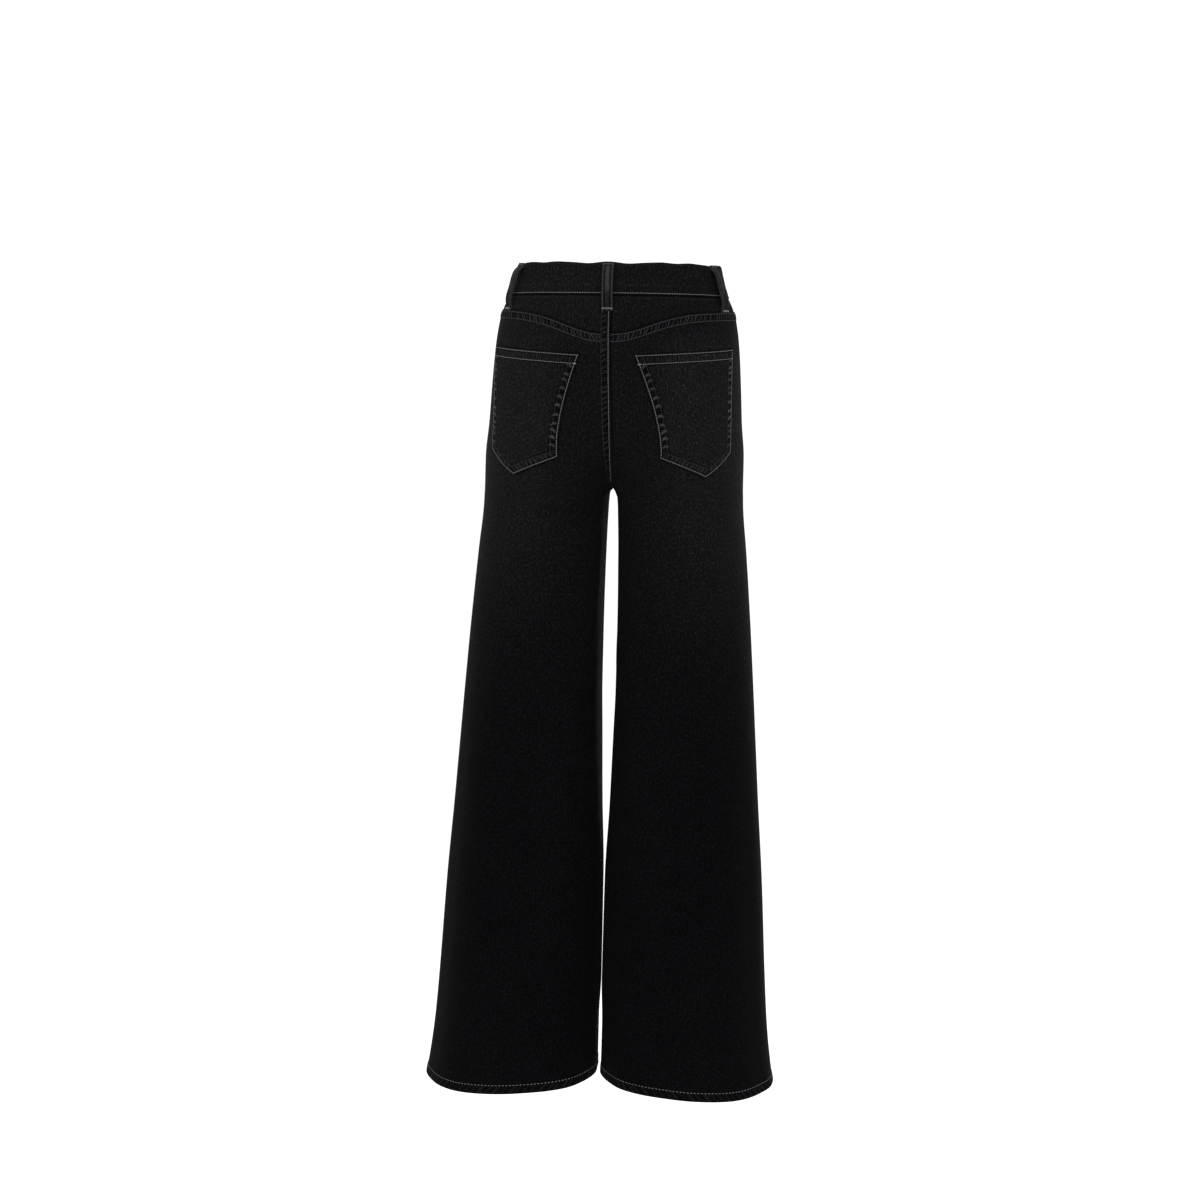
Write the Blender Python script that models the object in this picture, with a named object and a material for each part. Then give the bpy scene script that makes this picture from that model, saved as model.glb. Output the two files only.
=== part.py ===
# Wide leg jeans in washed black denim, hollow, in the shape they have when worn.
# Metres, +Z up. The front faces -Y and the wearer's left side is at +X.
# The origin is the centre of the waistband at mid height.

import math
from functools import lru_cache

import bmesh
import bpy
from mathutils import Vector

# Cloth
DENIM = 0.0014              # wall of one layer
BAND_DENIM = 0.0026         # waistband, folded double
LOOP_DENIM = 0.0020         # belt loop, folded
HEM_DENIM = 0.0026          # leg hem, turned up inside
SEAM_GAP = 0.0003           # space between two pieces at a seam
LAY_GAP = 0.0006            # space under a piece that lies on a panel
PATCH_GAP = 0.0010          # the same where the panel bends both ways
FLY_GAP = 0.0013            # space between the front and the zip behind it

# Lengths of the cut
CROTCH_HEIGHT = -0.276
SEAT_BLEND = 0.200          # height over which the two legs run together into one seat
SEAT_CURVE = 1.5            # how fast the crotch curve leaves the crotch
SIDE_SEAM = -4.0            # degrees round the leg: 0 outer side, 90 back, -90 front
BAND_HALF_HEIGHT = 0.0205
HEM_TURN = 0.013
STANCE_LEAN = 0.0136        # sideways drift of the legs towards +X, for each metre down
WAIST_TWIST = 0.078         # turn of the waist against the legs, as a shear along X
TWIST_HEIGHTS = (-0.25, 0.05)

# Height of the waistband's middle line at the back, side and front
BAND_MIDDLE = {"back": -0.0005, "side": -0.0050, "front": -0.0120}

# Height of the leg's lower edge round the leg
HEM_EDGE = {"outer": -1.0772, "back": -1.0822, "inner": -1.0662, "front": -1.0690}

# Yoke seam: level round the side, then down in a soft S to the centre back
YOKE_SEAM = {"back": -0.0705, "side": -0.0435, "bend": 6.0, "ease": 2.9}
YOKE_ROWS = 3

# Outside of one half of the garment. Outer is the half width, inner the inside edge of the leg,
# front and back the depth, corner the exponent of the section (2 is an ellipse).
SECTION_COLUMNS = ("height", "outer", "inner", "front", "back", "corner")
SECTIONS = (
    (0.030, 0.1285, 0.00015, -0.0920, 0.0920, 2.15),
    (-0.020, 0.1415, 0.00015, -0.0995, 0.0990, 2.15),
    (-0.050, 0.1535, 0.00015, -0.1035, 0.1060, 2.15),
    (-0.090, 0.1600, 0.00015, -0.1060, 0.1140, 2.15),
    (-0.140, 0.1638, 0.00015, -0.1065, 0.1203, 2.15),
    (-0.190, 0.1667, 0.00015, -0.1050, 0.1228, 2.15),
    (-0.235, 0.1705, 0.00015, -0.1025, 0.1200, 2.15),
    (-0.276, 0.1708, 0.00015, -0.1000, 0.1150, 2.15),
    (-0.300, 0.1718, 0.00800, -0.0985, 0.1115, 2.15),
    (-0.360, 0.1778, 0.00980, -0.0960, 0.1050, 2.15),
    (-0.450, 0.1858, 0.01080, -0.0935, 0.0993, 2.15),
    (-0.540, 0.1928, 0.01060, -0.0917, 0.0968, 2.15),
    (-0.600, 0.1972, 0.00900, -0.0905, 0.0953, 2.15),
    (-0.700, 0.2045, 0.00620, -0.0890, 0.0933, 2.15),
    (-0.800, 0.2125, 0.00180, -0.0875, 0.0920, 2.12),
    (-0.940, 0.2212, 0.00100, -0.0862, 0.0910, 2.10),
    (-1.000, 0.2258, 0.00320, -0.0860, 0.0907, 2.10),
    (-1.050, 0.2318, 0.00300, -0.0864, 0.0910, 2.10),
    (-1.090, 0.2385, 0.00120, -0.0872, 0.0920, 2.10),
)

# Largest folds. Leg is 1 for the wearer's left, -1 for the right and 0 for both.
# Each runs between two places, and rise is its height over the smooth cloth.
FOLD_COLUMNS = ("leg", "around_top", "height_top", "around_low", "height_low", "half_width", "rise")
FOLDS = (
    (1, 162, -0.315, 140, -0.480, 0.010, 0.0026),
    (1, 151, -0.560, 142, -0.690, 0.011, 0.0020),
    (1, 122, -0.300, 150, -0.345, 0.009, -0.0016),
    (-1, 122, -0.288, 150, -0.345, 0.010, -0.0024),
    (-1, 50, -0.310, 62, -0.450, 0.016, 0.0020),
    (-1, 154, -0.470, 158, -0.500, 0.008, 0.0018),
    (0, 66, -0.360, 58, -1.080, 0.022, 0.0024),
    (0, 96, -0.420, 101, -1.080, 0.020, -0.0026),
    (0, 128, -0.560, 133, -1.080, 0.018, 0.0022),
    (1, 30, -0.500, 24, -1.080, 0.018, -0.0018),
    (-1, 34, -0.640, 29, -1.080, 0.018, -0.0020),
    (0, -62, -0.340, -55, -1.080, 0.024, 0.0028),
    (0, -95, -0.380, -100, -1.080, 0.020, -0.0026),
    (0, -132, -0.520, -130, -1.080, 0.020, 0.0022),
    (0, -152, -0.270, -112, -0.236, 0.009, 0.0020),
    (0, -140, -0.292, -95, -0.280, 0.010, -0.0018),
)

# Back pocket, in the flat: across is measured from the centre back seam along the cloth
BACK_POCKET = {
    "inner_top": (0.0350, -0.0975),
    "outer_top": (0.1770, -0.0905),
    "inner_bottom": (0.0740, -0.2285),
    "tip": (0.1430, -0.2530),
    "outer_bottom": (0.1770, -0.2225),
    "inner_bow": 0.0035,
}
BACK_POCKET_DRIFT = {"left": 0.0055, "right": 0.0}    # how much nearer the centre the tip lies
BACK_POCKET_GRID = (10, 8)

# Front pocket mouth, a scoop from the side seam up to the waistband
MOUTH_LOW_HEIGHT = -0.108
MOUTH_SWEEP = 43.0          # degrees round from the side seam at the waistband
MOUTH_STEPS = 6
FACING_LOW_HEIGHT = -0.128
FACING_OVERLAP = 7.0        # degrees that the facing runs on behind the front
FACING_GRID = (7, 4)

# Belt loops: degrees round the waist, and the arch over the band down to the yoke or front
LOOP_WIDTH = 0.015
BACK_SIDE_LOOPS = {"left": 26.0, "right": 19.0}
FRONT_LOOP = -64.0
LOOP_STAND_OFF = 0.0070     # clear space for a belt, between band and loop
# step is the share of the way from the band's top edge down to the lower tack,
# lift the share of the stand off that is reached there
LOOP_ARCH = (
    (0.00, 0.00),
    (0.06, 0.02),
    (0.17, 0.78),
    (0.29, 1.00),
    (0.50, 1.00),
    (0.68, 0.98),
    (0.80, 0.62),
    (0.91, 0.04),
    (1.00, 0.00),
)
LOOP_TACK_BELOW_BAND = 0.0205

# Fly: the left front closes over the zip, which a shield backs
FLY_LENGTH = 0.138
ZIP_SPAN = (-0.006, 0.020)
SHIELD_SPAN = (-0.022, 0.036)
ZIP_DENIM = 0.0008
SLIDER_SIZE = (0.009, 0.0014, 0.012)
SLIDER_BELOW_TOP = 0.004

# Right half of the band under the left one: x, and the share of the way that it lies behind
UNDERLAP = ((-0.012, 0.0), (-0.003, 1.0), (0.015, 1.0), (0.035, 1.0))

# Waist button, turned: radius and height of each step from the back to the middle of the face
BUTTON_PROFILE = (
    (0.0074, 0.0000),
    (0.0084, 0.0007),
    (0.0086, 0.0018),
    (0.0081, 0.0028),
    (0.0070, 0.0032),
    (0.0060, 0.0027),
    (0.0024, 0.0025),
)
BUTTON_FROM_CENTRE = 0.018
BUTTON_SEGMENTS = 20
BUTTON_SLOPE_STEP = 0.001

# Facets
PANEL_COLUMNS = 12
BAND_LEVELS = (1.0, 0.5, 0.0, -0.5, -1.0)
FLY_ROWS = 8
CROTCH_TURN = 8.5           # degrees of the crotch curve between two rows of facets
ROWS_BELOW_CROTCH = 17
SHARP_EDGE = math.radians(40)
NORMAL_STEP = 0.4           # degrees, for slopes
NORMAL_DROP = 0.0015        # metres, for slopes

DENIM_COLOUR = (0.0092, 0.0092, 0.0106)
FINISHES = {
    # colour, roughness, metallic
    "leg denim": (DENIM_COLOUR, 0.92, 0.0),
    "seat denim": ((0.0105, 0.0105, 0.0116), 0.92, 0.0),
    "pocket denim": ((0.0112, 0.0112, 0.0122), 0.92, 0.0),
    "band denim": ((0.0100, 0.0100, 0.0108), 0.92, 0.0),
    "zip tape": ((0.0060, 0.0060, 0.0065), 0.85, 0.0),
    "dark metal": ((0.1200, 0.1150, 0.1100), 0.38, 1.0),
}


def clear_scene():
    for item in list(bpy.data.objects):
        bpy.data.objects.remove(item, do_unlink=True)


def finish(name):
    found = bpy.data.materials.get(name)
    if found:
        return found
    colour, roughness, metallic = FINISHES[name]
    material = bpy.data.materials.new(name)
    material.use_nodes = True
    shader = material.node_tree.nodes["Principled BSDF"]
    shader.inputs["Base Color"].default_value = (*colour, 1.0)
    shader.inputs["Roughness"].default_value = roughness
    shader.inputs["Metallic"].default_value = metallic
    return material


def mix(start, end, share):
    return start + (end - start) * share


# The worn shape

def slope_at(index, values):
    """Slope of a column at one of its rows, without overshoot."""
    heights = [row[0] for row in SECTIONS]
    last = len(SECTIONS) - 1
    if index in (0, last):
        near = 1 if index == 0 else last - 1
        return (values[near] - values[index]) / (heights[near] - heights[index])
    above = (values[index] - values[index - 1]) / (heights[index] - heights[index - 1])
    below = (values[index + 1] - values[index]) / (heights[index + 1] - heights[index])
    if above * below <= 0:
        return 0.0
    return 2 * above * below / (above + below)


@lru_cache(maxsize=None)
def section(height):
    """All columns of the section table at a height, on smooth curves through its rows."""
    heights = [row[0] for row in SECTIONS]
    height = min(heights[0], max(heights[-1], height))
    index = 0
    while index < len(heights) - 2 and height < heights[index + 1]:
        index += 1
    run = heights[index + 1] - heights[index]
    t = (height - heights[index]) / run
    found = {}
    for column, name in enumerate(SECTION_COLUMNS[1:], start=1):
        values = [row[column] for row in SECTIONS]
        found[name] = (
            (2 * t**3 - 3 * t**2 + 1) * values[index]
            + (t**3 - 2 * t**2 + t) * run * slope_at(index, values)
            + (3 * t**2 - 2 * t**3) * values[index + 1]
            + (t**3 - t**2) * run * slope_at(index + 1, values)
        )
    return found


@lru_cache(maxsize=None)
def ring(height):
    """The middle of the wall at a height: centre, outer, inner, front and back reach, corner.

    Below the crotch the ring is a whole leg. Above it the ring is cut at the centre seams,
    and cut_share says how far round the inner side that cut lies.
    """
    here = section(height)
    half = DENIM / 2
    outer = here["outer"] - half
    reach = {"front": -here["front"] - half, "back": here["back"] - half, "corner": here["corner"]}
    if height < CROTCH_HEIGHT:
        inner = SEAM_GAP / 2 + half
        reach["centre"] = (outer + inner) / 2
        reach["inner"] = (outer - inner) / 2
        reach["cut_share"] = 1.0
        reach["parting"] = here["inner"] + half - inner
    else:
        crotch = section(CROTCH_HEIGHT)
        leg_centre = (crotch["outer"] + crotch["inner"]) / 2
        blend = max(0.0, 1 - (height - CROTCH_HEIGHT) / SEAT_BLEND)
        cut_share = blend**SEAT_CURVE
        seam = SEAM_GAP / 2 + half * cut_share
        reach["centre"] = leg_centre * blend**2 * (3 - 2 * blend)
        if reach["centre"] > seam:
            reach["inner"] = (reach["centre"] - seam) / cut_share
            reach["cut_share"] = cut_share
        else:
            reach["inner"] = outer
            reach["cut_share"] = -(seam - reach["centre"]) / (outer - reach["centre"])
    reach["outer"] = outer - reach["centre"]
    return reach


def centre_seam(height):
    """Degrees round the leg at which the centre seam or the inseam lies."""
    here = ring(height)
    share = here["cut_share"]
    turned = math.copysign(abs(share) ** (here["corner"] / 2), share)
    return 180 - math.degrees(math.acos(max(-1.0, min(1.0, turned))))


def fold_rise(side, around, height):
    """How far the folds lift the cloth at a place."""
    total = 0.0
    for row in FOLDS:
        fold = dict(zip(FOLD_COLUMNS, row))
        if fold["leg"] not in (0, side):
            continue
        along = (fold["height_top"] - height) / (fold["height_top"] - fold["height_low"])
        held = min(1.0, max(0.0, along))
        middle = mix(fold["around_top"], fold["around_low"], held)
        across = math.radians(around - middle) * (section(height)["back"])
        past = (along - held) * (fold["height_top"] - fold["height_low"])
        away = math.hypot(across, past) / fold["half_width"]
        fade = math.sin(math.pi * min(1.0, 0.15 + 0.85 * held / 0.5) / 2)
        total += fold["rise"] * fade * math.exp(-away * away)
    return total


def part_from_other_leg(x, parting):
    """Flatten the leg's inner side, so that the legs stand this far apart."""
    edge = (SEAM_GAP + DENIM) / 2 + parting
    return (x + edge + math.hypot(x - edge, parting / 2)) / 2


@lru_cache(maxsize=None)
def cloth(side, around, height):
    """Middle of the wall, round one half of the garment. Side is 1 for the wearer's left."""
    here = ring(height)
    cosine = math.cos(math.radians(around))
    sine = math.sin(math.radians(around))
    power = 2 / here["corner"]
    out = math.copysign(abs(cosine) ** power, cosine)
    deep = math.copysign(abs(sine) ** power, sine)
    rise = fold_rise(side, around, height)
    reach_x = here["outer"] if out > 0 else here["inner"]
    reach_y = here["back"] if deep > 0 else here["front"]
    x = here["centre"] + (reach_x + rise) * out
    y = (reach_y + rise) * deep
    if height < CROTCH_HEIGHT:
        x = part_from_other_leg(x, here["parting"])
    return Vector((math.copysign(1, side) * x, y, height))


@lru_cache(maxsize=None)
def outward(side, around, height):
    """Direction out of the cloth."""
    back = cloth(side, around + NORMAL_STEP, height) - cloth(side, around - NORMAL_STEP, height)
    up = cloth(side, around, height + NORMAL_DROP) - cloth(side, around, height - NORMAL_DROP)
    return math.copysign(1, side) * back.cross(up).normalized()


def gap_angle(side, around, height):
    """Half a seam gap, in degrees round the leg."""
    step = cloth(side, around + NORMAL_STEP, height) - cloth(side, around - NORMAL_STEP, height)
    return SEAM_GAP / 2 / step.length * 2 * NORMAL_STEP


@lru_cache(maxsize=None)
def back_arc(height):
    """Lengths along the cloth from the centre back round to the front of the hip."""
    start = centre_seam(height)
    turns = [mix(start, -20.0, step / 60) for step in range(61)]
    places = [cloth(0, turn, height) for turn in turns]
    lengths = [0.0]
    for first, second in zip(places, places[1:]):
        lengths.append(lengths[-1] + (second - first).length)
    return turns, lengths


def around_at(across, height):
    """Degrees round the leg at a length along the cloth from the centre back."""
    turns, lengths = back_arc(height)
    index = 0
    while index < len(lengths) - 2 and across > lengths[index + 1]:
        index += 1
    share = (across - lengths[index]) / (lengths[index + 1] - lengths[index])
    return mix(turns[index], turns[index + 1], share)


def front_depth(x, height):
    """The front's y at a distance from the centre front, for strips that cross it."""
    here = ring(height)
    away = abs(x) - here["centre"]
    share = away / here["outer"] if away > 0 else away / here["inner"]
    return -here["front"] * (1 - abs(share) ** here["corner"]) ** (1 / here["corner"])


def band_middle(around):
    turn = math.sin(math.radians(around))
    side = BAND_MIDDLE["side"]
    even = (BAND_MIDDLE["back"] + BAND_MIDDLE["front"]) / 2 - side
    odd = (BAND_MIDDLE["back"] - BAND_MIDDLE["front"]) / 2
    return side + odd * turn + even * turn * turn


def band_low(around):
    return band_middle(around) - BAND_HALF_HEIGHT


def hem_edge(around):
    turn = math.radians(around)
    inwards = (1 - math.cos(turn)) / 2
    base = mix(HEM_EDGE["outer"], HEM_EDGE["inner"], inwards)
    middle = (HEM_EDGE["outer"] + HEM_EDGE["inner"]) / 2
    deep = HEM_EDGE["back"] if around > 0 else HEM_EDGE["front"]
    return base + (deep - middle) * abs(math.sin(turn))


def yoke_seam(share):
    """Height of the yoke seam: share 0 at the side seam, 1 at the centre back."""
    fall = 1 - (1 - share ** YOKE_SEAM["bend"]) ** YOKE_SEAM["ease"]
    return mix(YOKE_SEAM["side"], YOKE_SEAM["back"], fall)


# Meshes

def stance(point):
    """A point of the even garment, as it stands with its drift and its turned waist."""
    low, high = TWIST_HEIGHTS
    share = min(1.0, max(0.0, (point[2] - low) / (high - low)))
    twist = WAIST_TWIST * share * share * (3 - 2 * share)
    return (point[0] - STANCE_LEAN * point[2] + twist * point[1], point[1], point[2])


def make_object(name, points, faces, material):
    mesh = bpy.data.meshes.new(name)
    placed = [stance(point) for point in points]
    mesh.from_pydata(placed, [], faces)
    shape = bmesh.new()
    shape.from_mesh(mesh)
    bmesh.ops.triangulate(shape, faces=shape.faces, quad_method="FIXED")
    bmesh.ops.recalc_face_normals(shape, faces=shape.faces)
    if shape.calc_volume(signed=True) < 0:
        bmesh.ops.reverse_faces(shape, faces=shape.faces)
    shape.to_mesh(mesh)
    shape.free()
    mesh.materials.append(finish(material))
    mesh.shade_smooth()
    mesh.set_sharp_from_angle(angle=SHARP_EDGE)
    made = bpy.data.objects.new(name, mesh)
    bpy.context.scene.collection.objects.link(made)
    return made


def wall(name, outer, inner, material):
    """A closed wall between two grids of points, rows by columns. Each four-sided facet is
    split along its shorter diagonal, the same way on both faces of the wall."""
    rows, columns = len(outer), len(outer[0])
    points = [p for row in outer for p in row] + [p for row in inner for p in row]
    shift = rows * columns

    def at(row, column):
        return row * columns + column

    faces = []
    for row in range(rows - 1):
        for column in range(columns - 1):
            a, b = at(row, column), at(row, column + 1)
            c, d = at(row + 1, column + 1), at(row + 1, column)
            if (points[a] - points[c]).length > (points[b] - points[d]).length:
                a, b, c, d = b, c, d, a
            faces.append((a, b, c, d))
            faces.append((a + shift, d + shift, c + shift, b + shift))
    border = [at(0, c) for c in range(columns)]
    border += [at(r, columns - 1) for r in range(1, rows)]
    border += [at(rows - 1, c) for c in range(columns - 2, -1, -1)]
    border += [at(r, 0) for r in range(rows - 2, 0, -1)]
    for first, second in zip(border, border[1:] + border[:1]):
        faces.append((second, first, first + shift, second + shift))
    return make_object(name, points, faces, material)


def cloth_wall(name, side, rows, outer_reach, inner_reach, material):
    """A wall on the cloth. Rows hold (around, height) places, and the reaches say how far
    each face lies out from the middle of the cloth; inner_reach may differ from row to row."""
    outer, inner = [], []
    for index, row in enumerate(rows):
        depth = inner_reach[index] if isinstance(inner_reach, list) else inner_reach
        outer_row, inner_row = [], []
        for around, height in row:
            middle = cloth(side, around, height)
            way = outward(side, around, height)
            outer_row.append(middle + way * outer_reach)
            inner_row.append(middle + way * depth)
        outer.append(outer_row)
        inner.append(inner_row)
    for row in outer + inner:
        for point in row:
            point.x = side * max(side * point.x, SEAM_GAP / 2)
    return wall(name, outer, inner, material)


def steps(count):
    return [step / count for step in range(count + 1)]


def crotch_shares(reach):
    """Shares of a reach above the crotch, closer together where the crotch curve turns."""
    power = 2 / (section(CROTCH_HEIGHT)["corner"] * SEAT_CURVE)
    shares = []
    for step in range(int(90 / CROTCH_TURN)):
        rise = SEAT_BLEND * (1 - math.cos(math.radians(CROTCH_TURN * step)) ** power)
        if rise < 0.85 * reach:
            shares.append(rise / reach)
    return shares + [(shares[-1] + 1) / 2, 1.0]


def leg_rows(outer_edge, top_edge, back_side, above):
    """Places of a leg panel, from its top edge down to the hem. Above holds the shares of
    the way from the crotch up to the top edge. Returns the rows, and which of them are turned."""
    sign = 1 if back_side else -1
    columns = steps(PANEL_COLUMNS)
    rows = []

    def row_at(place):
        row = []
        for column in columns:
            height = place(column)
            inner_edge = centre_seam(height)
            if height < CROTCH_HEIGHT + DENIM:
                inner_edge -= gap_angle(0, inner_edge, height)
            row.append((mix(outer_edge(height), sign * inner_edge, column), height))
        return row

    for share in reversed(above):
        rows.append(row_at(lambda column: mix(CROTCH_HEIGHT, top_edge(column), share)))
    turn_height = {}
    for column in columns:
        turn_height[column] = hem_edge(mix(SIDE_SEAM, sign * 180, column)) + HEM_TURN
    down = [share**1.5 * (1.35 - 0.35 * share) for share in steps(ROWS_BELOW_CROTCH)[1:]]
    for share in [0.004] + down:
        rows.append(row_at(lambda column: mix(CROTCH_HEIGHT, turn_height[column], share)))
    rows.append(row_at(lambda column: turn_height[column] - SEAM_GAP))
    rows.append(row_at(lambda column: turn_height[column] - HEM_TURN))
    turned = [False] * (len(rows) - 2) + [True, True]
    return rows, turned


def hem_depths(turned):
    return [DENIM / 2 - HEM_DENIM if thick else -DENIM / 2 for thick in turned]


# Pieces

def make_back(side, name):
    def outer_edge(height):
        return SIDE_SEAM + gap_angle(0, SIDE_SEAM, height)

    def top_edge(column):
        return yoke_seam(column) - SEAM_GAP / 2

    above = crotch_shares(YOKE_SEAM["back"] - CROTCH_HEIGHT)
    rows, turned = leg_rows(outer_edge, top_edge, True, above)
    cloth_wall(name, side, rows, DENIM / 2, hem_depths(turned), "leg denim")


def mouth_edge(height):
    """Degrees round at which the front pocket's mouth lies, at a height over its low end."""
    top = band_low(SIDE_SEAM - MOUTH_SWEEP)
    share = min(1.0, max(0.0, (height - MOUTH_LOW_HEIGHT) / (top - MOUTH_LOW_HEIGHT)))
    return SIDE_SEAM - MOUTH_SWEEP * math.sqrt(1 - (1 - share) ** 2)


def make_front(side, name):
    mouth_top = band_low(SIDE_SEAM - MOUTH_SWEEP)
    low_share = (MOUTH_LOW_HEIGHT - CROTCH_HEIGHT) / (mouth_top - CROTCH_HEIGHT)

    def outer_edge(height):
        edge = mouth_edge(height) if height > MOUTH_LOW_HEIGHT else SIDE_SEAM
        return edge - gap_angle(0, edge, height)

    def top_edge(column):
        around = mix(SIDE_SEAM - MOUTH_SWEEP, -90, column)
        return band_low(around) - SEAM_GAP

    below_mouth = [low_share * share for share in crotch_shares(MOUTH_LOW_HEIGHT - CROTCH_HEIGHT)]
    beside_mouth = []
    for step in range(1, MOUTH_STEPS + 1):
        turn = math.pi / 2 * step / MOUTH_STEPS
        beside_mouth.append(mix(low_share, 1.0, 1 - math.cos(turn)))
    rows, turned = leg_rows(outer_edge, top_edge, False, below_mouth + beside_mouth)
    cloth_wall(name, side, rows, DENIM / 2, hem_depths(turned), "leg denim")


def make_yoke(side, name):
    rows = []
    for share in reversed(steps(YOKE_ROWS)):
        row = []
        for column in steps(PANEL_COLUMNS):
            around = mix(SIDE_SEAM, 90, column)
            height = mix(yoke_seam(column) + SEAM_GAP / 2, band_low(around) - SEAM_GAP, share)
            start = SIDE_SEAM + gap_angle(0, SIDE_SEAM, height)
            row.append((mix(start, centre_seam(height), column), height))
        rows.append(row)
    cloth_wall(name, side, rows, DENIM / 2, -DENIM / 2, "seat denim")


def make_facing(side, name):
    """The denim behind the front pocket's mouth, just inside the front."""
    rows = []
    reach = -DENIM / 2 - PATCH_GAP
    for share in steps(FACING_GRID[1]):
        row = []
        for column in steps(FACING_GRID[0]):
            around = mix(SIDE_SEAM, SIDE_SEAM - MOUTH_SWEEP - FACING_OVERLAP, column)
            top = band_low(around) - SEAM_GAP
            row.append((around, mix(top, FACING_LOW_HEIGHT, share)))
        rows.append(row)
    cloth_wall(name, side, rows, reach, reach - DENIM, "pocket denim")


def make_waistband(side, name, underlap):
    """Half of the band, from the centre back round to the centre front. The wearer's right
    half runs on behind the left one, as far as the button needs."""
    outer, inner = [], []
    half = BAND_DENIM / 2
    columns = [mix(90, -90, share) for share in steps(2 * PANEL_COLUMNS - 2)]
    for level in BAND_LEVELS:
        outer_row, inner_row = [], []
        for around in columns:
            edge = centre_seam(0.0)
            held = max(-edge, min(edge, around))
            height = band_middle(held) + level * BAND_HALF_HEIGHT
            middle, way = cloth(side, held, height), outward(side, held, height)
            way = Vector((way.x, way.y, 0)).normalized()
            if abs(around) == 90:
                way = Vector((0, math.copysign(1, around), 0))
            outer_row.append(middle + way * half)
            inner_row.append(middle - way * half)
        if underlap:
            outer_row, inner_row = outer_row[:-1], inner_row[:-1]
            for x, share in underlap:
                height = band_middle(-90) + level * BAND_HALF_HEIGHT
                y = front_depth(x, height) + share * (BAND_DENIM + LAY_GAP)
                outer_row.append(Vector((x, y - half, height)))
                inner_row.append(Vector((x, y + half, height)))
        outer.append(outer_row)
        inner.append(inner_row)
    wall(name, outer, inner, "band denim")


def make_front_strip(name, span, heights, depth, thickness, material):
    """A strip inside the centre front, depth behind the middle of the front's cloth."""
    places = [mix(span[0], span[1], share) for share in steps(2)]
    if span[0] < 0:
        places = [span[0], span[0] / 2] + [span[1] * share for share in steps(3)]
    outer, inner = [], []
    for height in heights:
        outer_row, inner_row = [], []
        for x in places:
            y = front_depth(x, height) + depth
            outer_row.append(Vector((x, y, height)))
            inner_row.append(Vector((x, y + thickness, height)))
        outer.append(outer_row)
        inner.append(inner_row)
    wall(name, outer, inner, material)


def make_fly():
    """Zip tape with its chain, slider and the shield behind them."""
    top = band_low(-90) - SEAM_GAP
    heights = [mix(top, top - FLY_LENGTH, share) for share in steps(FLY_ROWS)]
    zip_depth = DENIM / 2 + FLY_GAP
    slider_depth = zip_depth + ZIP_DENIM + SEAM_GAP
    shield_depth = slider_depth + SLIDER_SIZE[1] + SEAM_GAP
    make_front_strip("fly_zip", ZIP_SPAN, heights, zip_depth, ZIP_DENIM, "zip tape")
    middle = (ZIP_SPAN[0] + ZIP_SPAN[1]) / 2
    slider_span = (middle - SLIDER_SIZE[0] / 2, middle + SLIDER_SIZE[0] / 2)
    slider_top = top - SLIDER_BELOW_TOP
    slider_heights = [slider_top, slider_top - SLIDER_SIZE[2] / 2, slider_top - SLIDER_SIZE[2]]
    make_front_strip("zip_slider", slider_span, slider_heights, slider_depth, SLIDER_SIZE[1], "dark metal")
    make_front_strip("fly_shield", SHIELD_SPAN, heights, shield_depth, DENIM, "seat denim")


def make_back_pocket(side, name, drift):
    """A patch on the back panel, moved out from the panel's own surface."""
    columns, row_count = BACK_POCKET_GRID
    pocket = BACK_POCKET
    rows = []
    for down in steps(row_count):
        row = []
        for along in steps(columns):
            top = [mix(a, b, along) for a, b in zip(pocket["inner_top"], pocket["outer_top"])]
            if along < 0.5:
                ends = (pocket["inner_bottom"], pocket["tip"], along * 2)
            else:
                ends = (pocket["tip"], pocket["outer_bottom"], along * 2 - 1)
            low = [mix(a, b, ends[2]) for a, b in zip(ends[0], ends[1])]
            bow = pocket["inner_bow"] * math.sin(math.pi * down) * (1 - along)
            height = mix(top[1], low[1], down)
            depth = (pocket["inner_top"][1] - height) / (pocket["inner_top"][1] - pocket["tip"][1])
            across = mix(top[0], low[0], down) + bow - drift * depth
            row.append((around_at(across, height), height))
        rows.append(row)
    reach = DENIM / 2 + PATCH_GAP
    cloth_wall(name, side, rows, reach + DENIM, reach, "pocket denim")


def make_belt_loop(side, around, name):
    """A ribbon from the band's top edge, arched over the band, down to a tack below it."""
    top = band_middle(around) + BAND_HALF_HEIGHT
    low = band_low(around) - LOOP_TACK_BELOW_BAND
    centre_line = []
    for step, lift in LOOP_ARCH:
        height = mix(top, low, step)
        under = BAND_DENIM / 2 if height > band_low(around) - LOOP_DENIM else DENIM / 2
        seat = under + LAY_GAP + LOOP_DENIM / 2
        away = mix(seat, BAND_DENIM / 2 + LOOP_STAND_OFF + LOOP_DENIM / 2, lift)
        centre_line.append((height, away))
    level = outward(side, around, band_middle(around))
    out = Vector((level.x, level.y, 0)).normalized()
    if around == 90:
        out = Vector((0, 1, 0))
    across = Vector((0, 0, 1)).cross(out)
    middles = []
    for height, away in centre_line:
        seam = cloth(side, around, height) if around != 90 else Vector((0, ring(height)["back"], height))
        middles.append(seam + out * away)
    outer, inner = [], []
    for index, middle in enumerate(middles):
        before = middles[max(0, index - 1)]
        after = middles[min(len(middles) - 1, index + 1)]
        face = across.cross(before - after).normalized()
        if face.dot(out) < 0:
            face = -face
        outer_row, inner_row = [], []
        for share in (-0.5, 0.0, 0.5):
            place = middle + across * share * LOOP_WIDTH
            outer_row.append(place + face * LOOP_DENIM / 2)
            inner_row.append(place - face * LOOP_DENIM / 2)
        outer.append(outer_row)
        inner.append(inner_row)
    wall(name, outer, inner, "band denim")


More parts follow.
